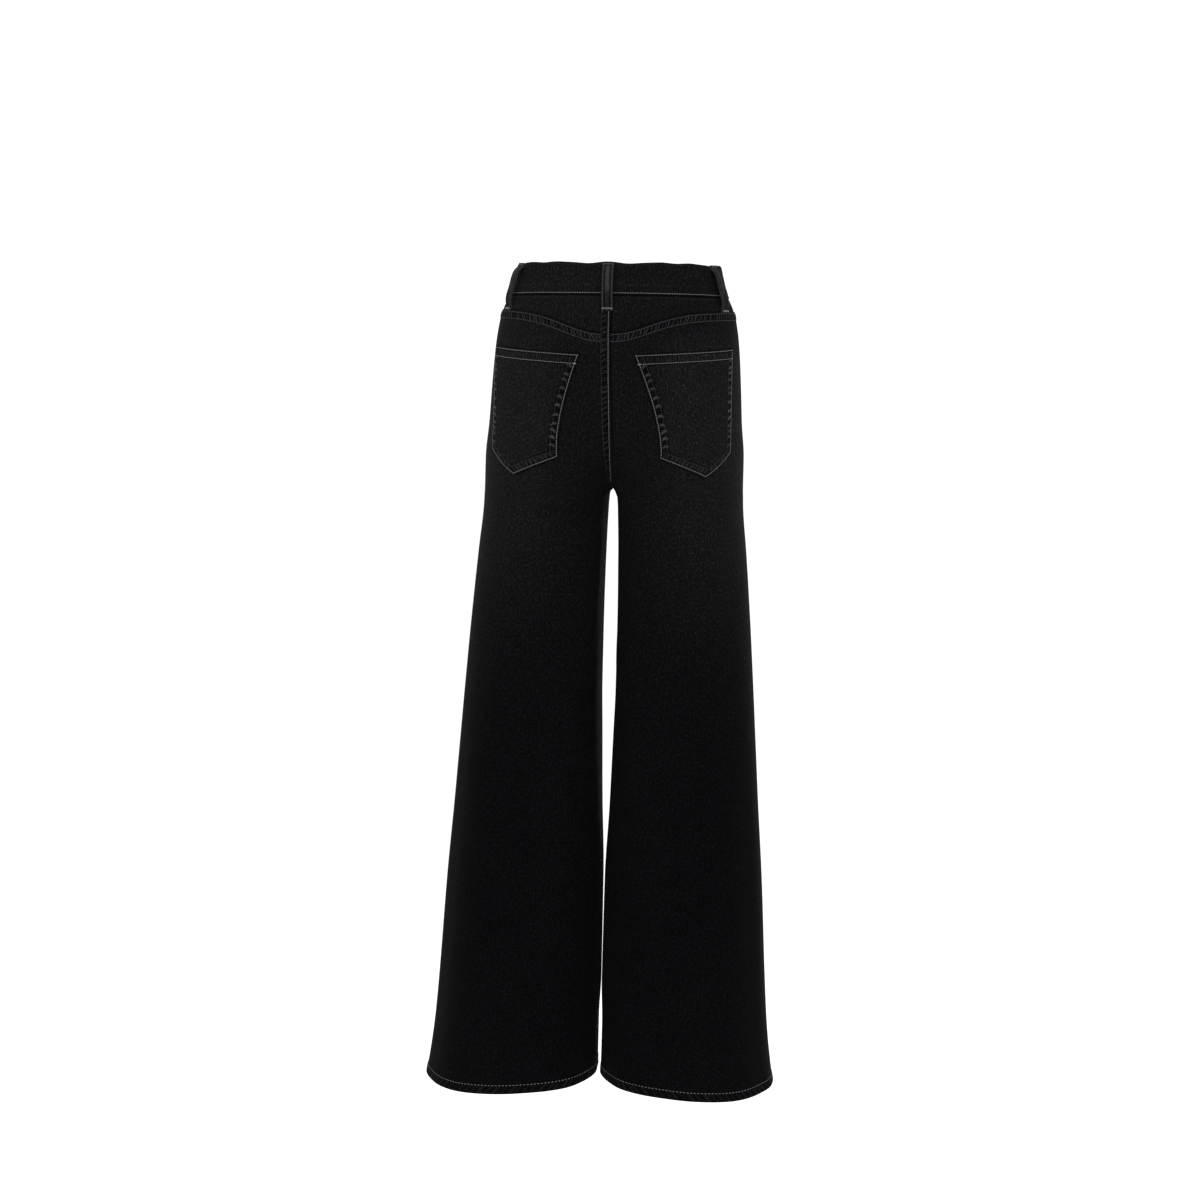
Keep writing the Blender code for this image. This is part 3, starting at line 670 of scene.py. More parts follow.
def clothShell(name, side, around, height, relief, depth=0.0):
    # a shell on the worn shape; relief says how far its outer face stands out, and depth how
    # far the middle of the wall lies from the middle of the cloth
    around, height = np.broadcast_arrays(around, height)
    half = cut["denim"] / 2
    middle = cloth(side, around, height)
    way = outward(side, around, height)
    lengths = {"fromOuter": arcs(middle, 1), "fromTop": arcs(middle, 0)}
    lengths["fromInner"] = lengths["fromOuter"][:, -1:] - lengths["fromOuter"]
    lengths["fromLow"] = lengths["fromTop"][-1:] - lengths["fromTop"]
    form = {"rise": 0 * height, "wear": 0 * height, "inner": 0 * height, "shade": 0 * height}
    form.update(relief(lengths, around, height))
    outer = middle + way * (depth + half + form["rise"])[..., None]
    inner = middle + way * (depth - half + form["inner"])[..., None]
    # neither half comes past the centre
    limit = 0.00002
    for grid in (outer, inner):
        seam = stance(0, grid[..., 1], grid[..., 2])
        grid[..., 0] = side * np.maximum(side * (grid[..., 0] - seam), limit) + seam
    fields = {"fade": fadeAndLightAt(middle) + form["shade"], "wear": form["wear"]}
    flat = np.stack([lengths["fromInner"] * side, -lengths["fromTop"]], axis=-1)
    made = addShell(name, outer, inner, fields, "denim", flat)
    return {"piece": made, "outer": outer, "way": way, "lengths": lengths, "middle": middle}


def lineFrom(shell, border, distance):
    # the place of a stitch line at a distance from one border of a shell; past the border
    # the line runs on straight, and past the centre on the mirror of the shell
    outer, way = shell["outer"], shell["way"]
    lengths = shell["lengths"][border]
    if border in ("fromTop", "fromLow"):
        outer, way, lengths = (np.swapaxes(grid, 0, 1) for grid in (outer, way, lengths))
    order = slice(None, None, -1) if border in ("fromInner", "fromLow") else slice(None)
    places, ways = [], []
    distances = np.broadcast_to(distance, len(outer))
    for points, normals, away, here in zip(outer, way, lengths, distances):
        away = away[order]
        if here > away[-1]:
            continue
        place = np.array([np.interp(abs(here), away, points[order, k]) for k in range(3)])
        normal = np.array([np.interp(abs(here), away, normals[order, k]) for k in range(3)])
        if here < 0 and border == "fromInner":
            place[0] = 2 * stance(0, place[1], place[2]) - place[0]
            normal[0] = -normal[0]
        elif here < 0:
            place = 2 * points[order][0] - place
        places.append(place)
        ways.append(normal)
    return np.array(places), np.array(ways)


# Stitches


def stitchTree():
    tree = bpy.data.node_groups.new("stitch row", "GeometryNodeTree")
    sockets = {}
    for name, kind in (
        ("Geometry", "NodeSocketGeometry"),
        ("Pitch", "NodeSocketFloat"),
        ("Stitch Size", "NodeSocketVector"),
        ("Turn", "NodeSocketFloat"),
        ("Material", "NodeSocketMaterial"),
    ):
        sockets[name] = tree.interface.new_socket(name=name, in_out="INPUT", socket_type=kind)
    tree.interface.new_socket(name="Geometry", in_out="OUTPUT", socket_type="NodeSocketGeometry")
    start = tree.nodes.new("NodeGroupInput")
    end = tree.nodes.new("NodeGroupOutput")

    def given(name):
        return Wire(tree, start.outputs[name])

    curve = addNode(tree, "GeometryNodeMeshToCurve", {}, {0: given("Geometry")})
    spaced = addNode(
        tree,
        "GeometryNodeResampleCurve",
        {"mode": "LENGTH"},
        {"Curve": curve, "Length": given("Pitch")},
    )
    out = addNode(
        tree, "GeometryNodeInputNamedAttribute", {"data_type": "FLOAT_VECTOR"}, {"Name": "out"}
    )
    tangent = addNode(tree, "GeometryNodeInputTangent", {}, {})
    lie = addNode(
        tree,
        "FunctionNodeAlignRotationToVector",
        {"axis": "X", "pivot_axis": "AUTO"},
        {"Vector": tangent},
    )
    lie = addNode(
        tree,
        "FunctionNodeAlignRotationToVector",
        {"axis": "Z", "pivot_axis": "X"},
        {"Rotation": lie, "Vector": out},
    )
    jitter = addNode(
        tree,
        "FunctionNodeRandomValue",
        {"data_type": "FLOAT"},
        {2: -0.07, 3: 0.07, "Seed": 5},
        1,
    )
    spin = addNode(tree, "ShaderNodeCombineXYZ", {}, {2: given("Turn") + jitter})
    spin = addNode(tree, "FunctionNodeEulerToRotation", {}, {0: spin})
    turned = addNode(
        tree,
        "FunctionNodeRotateRotation",
        {"rotation_space": "LOCAL"},
        {"Rotation": lie, "Rotate By": spin},
    )
    bead = addNode(
        tree, "GeometryNodeMeshUVSphere", {}, {"Segments": 6, "Rings": 4, "Radius": 0.5}
    )
    bead = addNode(
        tree, "GeometryNodeSetShadeSmooth", {}, {"Geometry": bead, "Shade Smooth": True}
    )
    laid = addNode(
        tree,
        "GeometryNodeInstanceOnPoints",
        {},
        {"Points": spaced, "Instance": bead, "Rotation": turned, "Scale": given("Stitch Size")},
    )
    real = addNode(tree, "GeometryNodeRealizeInstances", {}, {"Geometry": laid})
    done = addNode(
        tree, "GeometryNodeSetMaterial", {}, {"Geometry": real, "Material": given("Material")}
    )
    tree.links.new(done.socket, end.inputs[0])
    return tree, {name: socket.identifier for name, socket in sockets.items()}


stitchRow, stitchSockets = stitchTree()
stitchSizes = {
    # length, width and height of one stitch, distance to the next one, and turn in degrees
    "top": ((0.0030, 0.00085, 0.00060), 0.0032, 0),
    "hem": ((0.0034, 0.00085, 0.00060), 0.0047, 0),
    "tack": ((0.0026, 0.00055, 0.00050), 0.00062, 90),
    "hole": ((0.0022, 0.00050, 0.00050), 0.00055, 90),
    "teeth": ((0.0012, 0.0036, 0.0013), 0.0018, 0),
}
stitchSink = 0.00008
stitchGroove = 0.00022


def grown(name, tree, identifiers, values, points, edges, fields):
    # runs a geometry tree over a line mesh and keeps the plain mesh that it makes
    mesh = bpy.data.meshes.new(name + " path")
    mesh.from_pydata(points.tolist(), edges, [])
    for word, value in fields.items():
        known = mesh.attributes.new(word, "FLOAT_VECTOR", "POINT")
        known.data.foreach_set("vector", np.asarray(value, dtype=np.float32).ravel())
    source = bpy.data.objects.new(name + " source", mesh)
    bpy.context.scene.collection.objects.link(source)
    modifier = source.modifiers.new("grow", "NODES")
    modifier.node_group = tree
    for word, value in values.items():
        modifier[identifiers[word]] = value
    graph = bpy.context.evaluated_depsgraph_get()
    result = bpy.data.meshes.new_from_object(source.evaluated_get(graph), depsgraph=graph)
    bpy.data.objects.remove(source)
    result.name = name
    made = bpy.data.objects.new(name, result)
    bpy.context.scene.collection.objects.link(made)
    return made


def addStitches(name, lines, kind="top", finish="thread"):
    size, pitch, turn = stitchSizes[kind]
    points, ways, edges = [], [], []
    for places, normals in lines:
        first = len(points)
        for place, way in zip(places, unit(np.asarray(normals))):
            points.append(place + way * stitchSink)
            ways.append(way)
        edges += [(k, k + 1) for k in range(first, len(points) - 1)]
    values = {
        "Pitch": pitch,
        "Stitch Size": size,
        "Turn": math.radians(turn),
        "Material": finishes[finish],
    }
    return grown(name, stitchRow, stitchSockets, values, np.array(points), edges, {"out": ways})


def settle(piece, nodes=()):
    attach(piece, "root")
    if nodes:
        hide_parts(*nodes)


def even(count):
    return np.linspace(0, 1, count)


def gatheredEnds(count, ends, width):
    # shares from 0 to 1, closer together within a width of both ends
    inner = np.linspace(width, 1 - width, count)
    first = np.linspace(0, width, ends, endpoint=False)
    return np.concatenate([first, inner, 1 - first[::-1]])


# Legs

sides = ((1, "left"), (-1, "right"))
seamLook = {
    "facet": 0.0011,
    "overhang": 0.0005,
    "lap": 0.0042,
    "sink": 0.0004,
    "lift": 0.00006,
    "edgeRound": (0.0010, 0.0005),
    "lapHeights": (-0.275, -0.262),
    # what lies under a seam comes up over this run, and the seam's edge throws a shade
    "underRun": (0.001, 0.005),
    "foldRun": (0.001, 0.006),
    "shadePast": 0.0006,
    "shadeWidth": 0.0016,
    "yokeEnd": (0.003, 0.011),
    "rows": ((0, 0.0004, 0.0009), 0.0015, 0.0008),
    "lineShade": (0.5, 0.0012, 0.0008),
    "shift": 6.0,
}
legLook = {
    "columns": (60, 10, 0.055),
    "crotchTurn": 3.0,
    "seatRow": 0.0026,
    "legRow": 0.0046,
    "hemRows": 14,
    "leastRow": 0.0008,
    "firstLowRow": 0.0006,
    "underDip": 0.0003,
    "crotchBlend": 0.004,
    "hemBlend": 0.001,
    "topShade": 0.0018,
}


def seamLap(height):
    # how far the left half's folded edge lies past the centre at the back
    return blendTo(seamLook["overhang"], seamLook["lap"], softStep(*seamLook["lapHeights"], height))


def legHeights(topEdge):
    # shares above the crotch, closer together where the crotch curve turns, then rows below
    crotch, power = cut["crotchHeight"], 2 / (2.15 * cut["seatCurve"])
    reach = np.max(topEdge) - crotch
    turns = np.radians(np.arange(0, 90, legLook["crotchTurn"]))
    curved = cut["seatBlend"] * (1 - np.cos(turns) ** power) / reach
    regular = np.arange(0, 1, legLook["seatRow"] / reach)
    shares = np.sort(np.concatenate([curved[curved < 0.9], regular, [1.0]]))
    kept = [shares[0]]
    for share in shares[1:]:
        if share - kept[-1] > legLook["leastRow"] / reach:
            kept.append(share)
    kept[-1] = 1.0
    return np.array(kept)


def legGrid(outerEdge, topEdge, sign, columns):
    above = legHeights(topEdge)
    crotch = cut["crotchHeight"]
    turned = hemEdge(blendTo(cut["sideSeam"], sign * 180, columns)) + cut["hemTurn"]
    high = blendTo(crotch, topEdge[None, :], above[::-1, None])
    rows = int((crotch - np.mean(turned)) / legLook["legRow"])
    down = np.concatenate([[legLook["firstLowRow"]], even(rows + 1)[1:]])
    low = blendTo(crotch, turned[None, :], down[:, None])
    hem = turned[None, :] - cut["hemTurn"] * even(legLook["hemRows"] + 1)[1:, None]
    height = np.concatenate([high, low, hem])
    inner = sign * centreSeam(height)
    around = blendTo(outerEdge(height), inner, columns[None, :])
    return around, height


def legRelief(over, underBand):
    # over says that this panel's centre seam lies over its neighbour's, and underBand that
    # its top edge goes under the waistband
    look = legLook
    crotch, blend = cut["crotchHeight"], look["crotchBlend"]
    past, width = seamLook["shadePast"], seamLook["shadeWidth"]

    def relief(lengths, around, height):
        above = softStep(crotch - blend, crotch + blend, height)
        edge, low, top = lengths["fromInner"], lengths["fromLow"], lengths["fromTop"]
        rise, shade = 0 * height, 0 * height
        if not over:
            fold = 0 if underBand else seamLap(height)
            rise -= above * look["underDip"] * (1 - softStep(*seamLook["foldRun"], edge - fold))
            shade -= above * near(edge, fold + past, width)
        if underBand:
            rise -= look["underDip"] * (1 - softStep(*seamLook["underRun"], top))
            shade -= near(top, 0, look["topShade"])
        hem = 1 - softStep(cut["hemTurn"] - look["hemBlend"], cut["hemTurn"] + look["hemBlend"], low)
        inner = -(cut["hemDenim"] - cut["denim"]) * hem
        return {"rise": rise, "inner": inner, "shade": shade}

    return relief


def backSide(height):
    return np.full(np.shape(height), cut["sideSeam"])


def makeLeg(half, side, word, grid, relief):
    around, height = grid
    legs[half, side] = clothShell(f"{half}_{word}_cloth", side, around, height, relief)
    settle(legs[half, side]["piece"], [f"{half}_{word}"])


columnShares = gatheredEnds(*legLook["columns"])
legs = {}
for side, word in sides:
    grid = legGrid(backSide, yokeSeam(columnShares), 1, columnShares)
    makeLeg("back", side, word, grid, legRelief(side == 1, False))
print("back legs made")

mouthLook = {
    "lowHeight": -0.108,
    "sweep": 43.0,
    "facingLow": -0.128,
    "facingTuck": 0.0010,
    # how far the facing comes up, and over which run
    "facingLift": {"seam": (0.0008, 0.001, 0.010), "top": (0.0012, 0.001, 0.006)},
    "facingGrid": (40, 46),
    "overlap": 7.0,
}


def mouthSide(height):
    top = bandLow(cut["sideSeam"] - mouthLook["sweep"])
    low = mouthLook["lowHeight"]
    share = np.clip((height - low) / (top - low), 0, 1)
    return cut["sideSeam"] - mouthLook["sweep"] * np.sqrt(1 - (1 - share) ** 2)


for side, word in sides:
    top = bandLow(blendTo(cut["sideSeam"] - mouthLook["sweep"], -90, columnShares))
    grid = legGrid(mouthSide, top, -1, columnShares)
    makeLeg("front", side, word, grid, legRelief(side == 1, True))
print("front legs made")

# Yokes

yokeLook = {
    "columns": 120,
    "rows": (24, 6, 0.06),
    "underDip": 0.0004,
    "edgeShade": 0.0019,
    # the line pressed in by the ply above, drawn as a painted highlight in the wear field: its place,
    # its width and its strength
    "pressedHighlight": (0.0036, 0.0009, 0.07),
}


def yokeRelief(over):
    look, run, lap = yokeLook, seamLook["underRun"], seamLook["lap"]

    def relief(lengths, around, height):
        low, edge, top = lengths["fromLow"], lengths["fromInner"], lengths["fromTop"]
        rise = -look["underDip"] * (2 - softStep(*run, low) - softStep(*run, top))
        shade = -near(low, 0, look["edgeShade"]) - near(top, 0, look["edgeShade"])
        if not over:
            rise -= look["underDip"] * (1 - softStep(*run, edge - lap))
            shade -= near(edge, lap + seamLook["shadePast"], seamLook["shadeWidth"])
        place, width, strength = look["pressedHighlight"]
        # painted highlight along the pressed line below the band
        wear = strength * near(top, place, width)
        return {"rise": rise, "wear": wear, "shade": shade}

    return relief


yokes = {}
columns, rows = even(yokeLook["columns"]), gatheredEnds(*yokeLook["rows"])
for side, word in sides:
    top = bandLow(blendTo(cut["sideSeam"], 90, columns))
    height = blendTo(top[None, :], yokeSeam(columns)[None, :], rows[:, None])
    around = blendTo(cut["sideSeam"], centreSeam(height), columns[None, :])
    yokes[side] = clothShell(f"yoke_{word}_cloth", side, around, height, yokeRelief(side == 1))
    settle(yokes[side]["piece"], [f"yoke_{word}"])
print("yokes made")

# Facings behind the front pockets' mouths


def facingRelief(lengths, around, height):
    # the facing comes up to the side seam and to the band, where it is sewn in
    seam, *seamRun = mouthLook["facingLift"]["seam"]
    top, *topRun = mouthLook["facingLift"]["top"]
    lift = np.maximum(
        seam * (1 - softStep(*seamRun, lengths["fromOuter"])),
        top * (1 - softStep(*topRun, lengths["fromTop"])),
    )
    return {"rise": lift, "inner": lift}


facings = {}
columns, rows = (even(count) for count in mouthLook["facingGrid"])
for side, word in sides:
    end = cut["sideSeam"] - mouthLook["sweep"] - mouthLook["overlap"]
    around = blendTo(cut["sideSeam"], end, columns[None, :]) + 0 * rows[:, None]
    top = bandLow(around[:1]) + mouthLook["facingTuck"]
    height = blendTo(top, mouthLook["facingLow"], rows[:, None])
    depth = -cut["denim"] - cut["patchGap"]
    name = f"front_pocket_facing_{word}"
    facings[side] = clothShell(f"{name}_cloth", side, around, height, facingRelief, depth)
    settle(facings[side]["piece"], [name])

# Back pockets

pocketLook = {
    "innerTop": (0.0350, -0.0975),
    "outerTop": (0.1770, -0.0905),
    "innerBottom": (0.0740, -0.2285),
    "tip": (0.1430, -0.2530),
    "outerBottom": (0.1770, -0.2225),
    "innerBow": 0.0035,
    "drift": {1: 0.0055, -1: 0.0},
    "faded": 0.12,
    # the foot: a thin dark ring on the panel round the pocket, painted shadow of its edge, with its
    # width, lift, inset and tone
    "shadowFoot": 0.0014,
    "footLift": 0.00035,
    "footInset": 0.0015,
    "shadowFootTone": -0.6,
    "backLift": 0.0001,
    "grid": (108, 118),
    "gridSize": 0.150,
    "gridEnds": 0.010,
    "shift": 0.31,
    "rim": 0.0100,
    "rimRaise": 0.0005,
    "topHem": 0.0132,
    "roundEdge": 0.0011,
    "roundDrop": 0.0008,
    "stitchLines": (0.0016, 0.0090),
    "topLines": (0.0016, 0.0122),
    "innerPuckers": {
        "seed": 53, "pitch": 0.0097, "width": 0.0014, "slant": 0.05, "bow": 0.009, "least": 0.6,
        "band": (0.0030, 0.0112),
    },
    "outerPuckers": {
        "seed": 54, "pitch": 0.0089, "width": 0.0016, "slant": 0.25, "bow": 0.0, "least": 0.6,
        "band": (0.0020, 0.0096),
    },
    "lowPuckers": {
        "seed": 57, "pitch": 0.0062, "width": 0.0011, "slant": 0.2, "bow": 0.0,
        "band": (0.0024, 0.0086),
    },
    "topPuckers": {
        "seed": 61, "pitch": 0.0050, "width": 0.0009, "slant": 0.2, "bow": 0.0,
        "band": (0.0030, 0.0112),
    },
    "rimRun": 0.0014,
    # where the puckers of a side start, from the pocket's other edges
    "puckerFades": {
        "sides": ((0.012, 0.016), (0.008, 0.014)),
        "low": (0.006, 0.012),
        "top": (0.003, 0.010),
    },
    # width of the groove of a stitch line, then strength, place and width of its shade
    "line": (0.0009, 0.8, 0.0012, 0.0010),
    "edgeWear": (0.05, 0.0004, 0.0010),
    "tackLength": 0.0024,
    "tackInset": 0.0010,
    "puckerRise": 0.0007,
    "rub": {"inner": 0.95, "outer": 1.30, "low": 0.50, "top": 0.20},
    "hollowShade": {"inner": 5.0, "outer": 6.0, "low": 2.5, "top": 1.0},
}


def backArcs(step=0.002):
    # length along the cloth from the centre back, on a lattice of heights and turns
    heights = np.arange(-0.080, -0.264, -step)
    turns = blendTo(centreSeam(heights)[:, None], -20.0, even(121)[None, :])
    points = cloth(1, turns, heights[:, None], smooth=True)
    return heights, turns, arcs(points, 1)


arcHeights, arcTurns, arcLengths = backArcs()


def aroundAt(across, height):
    # degrees round the leg at a length along the cloth from the centre back
    place = (arcHeights[0] - height) / (arcHeights[0] - arcHeights[1])
    place = np.clip(place, 0, len(arcHeights) - 1.001)
    low = place.astype(int)
    found = np.zeros(np.shape(across))
    for index in np.unique(low):
        here = low == index
        share = place[here] - index
        first = np.interp(across[here], arcLengths[index], arcTurns[index])
        second = np.interp(across[here], arcLengths[index + 1], arcTurns[index + 1])
        found[here] = blendTo(first, second, share)
    return found


def pocketPlace(down, along):
    # flat place in the pocket: down from its mouth, along from its inner side
    look = pocketLook
    result = []
    for axis in (0, 1):
        top = blendTo(look["innerTop"][axis], look["outerTop"][axis], along)
        first = blendTo(look["innerBottom"][axis], look["tip"][axis], np.minimum(along * 2, 1))
        rest = look["outerBottom"][axis] - look["tip"][axis]
        second = blendTo(0, rest, np.maximum(along * 2 - 1, 0))
        result.append(blendTo(top, first + second, down))
    result[0] = result[0] + look["innerBow"] * np.sin(np.pi * down) * (1 - along)
    return np.stack(result, axis=-1)


def nearPath(points, path):
    # distance to a path, and how far along it the nearest place lies
    start, run = path[:-1], np.diff(path, axis=0)
    length = np.linalg.norm(run, axis=1)
    before = np.concatenate([[0], np.cumsum(length)[:-1]])
    best = np.full(points.shape[:-1], 9.0)
    place = np.zeros(points.shape[:-1])
    for first, step, size, past in zip(start, run, length, before):
        share = np.clip(((points - first) @ step) / size**2, 0, 1)
        away = np.linalg.norm(points - first - share[..., None] * step, axis=-1)
        closer = away < best
        best = np.where(closer, away, best)
        place = np.where(closer, past + share * size, place)
    return best, place


pocketEdges = {
    "top": pocketPlace(np.zeros(2), even(2)),
    "inner": pocketPlace(even(25), np.zeros(25)),
    "low": pocketPlace(np.ones(3), even(3)),
    "outer": pocketPlace(even(2), np.ones(2)),
}


def pocketRelief(flat):
    look = pocketLook
    away = {name: nearPath(flat, path) for name, path in pocketEdges.items()}
    side = np.minimum(away["inner"][0], away["outer"][0])
    edge = np.minimum(side, away["low"][0])
    top = away["top"][0]
    rim = 1 - softStep(look["rim"] - look["rimRun"], look["rim"], edge)
    hem = 1 - softStep(look["topHem"] - look["rimRun"], look["topHem"], top)
    rise = np.maximum(rim, hem) * look["rimRaise"]
    wear, shade = 0 * rise, 0 * rise
    fades = look["puckerFades"]
    corner = softStep(*fades["sides"][0], top) * softStep(*fades["sides"][1], away["low"][0])
    for name, fade in (
        ("inner", corner),
        ("outer", corner),
        ("low", softStep(*fades["low"], side)),
        ("top", softStep(*fades["top"], side)),
    ):
        ridges = fade * puckers(away[name][1], away[name][0], look[f"{name}Puckers"])
        rise = rise + ridges * look["puckerRise"]
        wear = wear + look["rub"][name] * np.maximum(ridges, 0)
        shade = shade + look["hollowShade"][name] * np.minimum(ridges, 0)
    groove, dark, past, width = look["line"]
    for distance, lines in ((edge, look["stitchLines"]), (top, look["topLines"])):
        for line in lines:
            rise = rise - stitchGroove * near(distance, line, groove)
            shade = shade - dark * near(distance, line + past, width)
    border = np.minimum(edge, top)
    rise = rise - rounded(border, look["roundEdge"], look["roundDrop"])
    strength, place, width = look["edgeWear"]
    return rise, wear + strength * near(border, place, width), shade


def pocketSurface(side, flat):
    # the drift brings the pocket's lower end nearer the centre
    height = flat[..., 1]
    top = pocketLook["innerTop"][1]
    down = (top - height) / (top - pocketLook["tip"][1])
    around = aroundAt(flat[..., 0] - pocketLook["drift"][side] * down, height)
    rise, wear, shade = pocketRelief(flat)
    out = cut["denim"] * 1.5 + cut["patchGap"] + rise
    way = outward(side, around, height)
    middle = cloth(side, around, height)
    return {"middle": middle, "way": way, "out": out, "wear": wear, "shade": shade}


def offsetPath(distance, topDistance):
    # the pocket's outline moved inwards, from the mouth's inner end round to its outer end
    path = np.concatenate(
        [pocketEdges["inner"], pocketEdges["low"][1:], pocketEdges["outer"][::-1][1:]]
    )
    run = unit(np.diff(path, axis=0))
    left = np.stack([-run[:, 1], run[:, 0]], axis=1) * distance
    moved = []
    for index in range(len(path)):
        if index in (0, len(path) - 1):
            moved.append(path[index] + left[min(index, len(left) - 1)])
            continue
        before, after = left[index - 1], left[index]
        both = before + after
        moved.append(path[index] + both * distance**2 / max(np.dot(both, before), 1e-9))
    moved = np.array(moved)
    top = pocketEdges["top"]
    slope = (top[1, 1] - top[0, 1]) / (top[1, 0] - top[0, 0])
    for end, beside in ((0, 1), (-1, -2)):
        limit = top[0, 1] + slope * (moved[end, 0] - top[0, 0]) - topDistance
        share = (limit - moved[beside, 1]) / (moved[end, 1] - moved[beside, 1])
        moved[end] = blendTo(moved[beside], moved[end], share)
    return moved


def spread(path, step=0.0015):
    length = np.concatenate([[0], np.cumsum(np.linalg.norm(np.diff(path, axis=0), axis=1))])
    places = np.linspace(0, length[-1], int(length[-1] / step) + 2)
    return np.stack([np.interp(places, length, path[:, k]) for k in range(path.shape[1])], axis=1)


def pocketLine(side, path):
    made = pocketSurface(side, spread(path))
    return made["middle"] + made["way"] * made["out"][:, None], made["way"]


def topPath(distance, inset):
    # a line across the pocket at a distance below its mouth
    top, inner = pocketEdges["top"], pocketEdges["inner"]
    down = unit(inner[-1] - inner[0])
    return top + np.array([[down[0] * distance + inset, -distance], [-inset, -distance]])


def closeEnds(count):
    # shares that follow the rounded edges closely, with a foot outside that is a thin dark ring of
    # painted shadow round the pocket
    look = pocketLook
    first = look["roundEdge"] / look["gridSize"] * np.array([0, 0.3, 0.65])
    first = np.concatenate([[-look["shadowFoot"] / look["gridSize"], -look["footInset"]], first])
    inner = np.linspace(look["gridEnds"], 1 - look["gridEnds"], count)
    return np.concatenate([first, inner, 1 - first[::-1]])


pockets = {}
columns, rows = (closeEnds(count) for count in pocketLook["grid"])
for side, word in sides:
    look = pocketLook
    flat = pocketPlace(rows[:, None], columns[None, :])
    made = pocketSurface(side, flat)
    shadowFoot = (np.abs(rows - 0.5) > 0.5)[:, None] | (np.abs(columns - 0.5) > 0.5)[None, :]
    low = cut["denim"] / 2
    made["out"] = np.where(shadowFoot, low + look["footLift"], made["out"])
    outer = made["middle"] + made["way"] * made["out"][..., None]
    inner = made["middle"] + made["way"] * (low + look["backLift"])
    # the foot takes the darkest tone and no wear: painted shadow round the pocket
    fade = np.where(shadowFoot, look["shadowFootTone"], fadeAndLightAt(made["middle"]) + look["faded"] + made["shade"])
    fields = {"fade": fade, "wear": np.where(shadowFoot, 0, made["wear"])}
    turned = flat * np.array([side, 1.0]) + look["shift"]
    piece = addShell(f"back_pocket_{word}_cloth", outer, inner, fields, "denim", turned)
    settle(piece, [f"back_pocket_{word}"])
    first, second = look["stitchLines"]
    lines = [pocketLine(side, offsetPath(first, look["topLines"][0]))]
    for distance in look["topLines"]:
        lines.append(pocketLine(side, topPath(distance, first)))
    rims = addStitches(f"back_pocket_{word}_stitches", lines)
    lines = [pocketLine(side, offsetPath(second, look["topLines"][1]))]
    sunk = addStitches(f"back_pocket_{word}_second_row", lines, finish="sunkThread")
    tacks = []
    reach = np.array([[-look["tackLength"] / 2, 0.0], [look["tackLength"] / 2, 0.0]])
    for end in topPath(look["topLines"][1], first + look["tackInset"]):
        tacks.append(pocketLine(side, end + reach))
    held = addStitches(f"back_pocket_{word}_tacks", tacks, "tack")
    for row in (rims, sunk, held):
        settle(row)
    pockets[side] = {"piece": piece, "middle": made["middle"], "with": [rims, sunk, held]}
print("back pockets made")

# Waistband

bandLook = {
    "columns": 150,
    "levels": (30, 4, 0.035),
    "underlap": ((-0.012, 0.0), (-0.003, 1.0), (0.015, 1.0), (0.035, 1.0)),
    "stitchLine": 0.0022,
    "allowance": 0.0125,
    "allowanceRun": 0.001,
    "grooveWidth": 0.0009,
    # strength, place and width of the wear at the fold above and over the seam allowance
    "foldWear": (0.06, 0.0020, 0.0012),
    "allowanceWear": (0.035, 0.0012),
    "edgeShade": (0.5, 0.0009, 0.0010),
    "waveRun": (0.3, 1.0),
    "allowanceRaise": 0.00035,
    "edgeRound": (0.0012, 0.0007),
    "shift": 2.0,
    # length of a wave, its height and its start
    "waves": ((0.033, 0.00022, 0.4), (0.059, 0.00065, 1.7), (0.107, 0.0006, 2.9)),
}


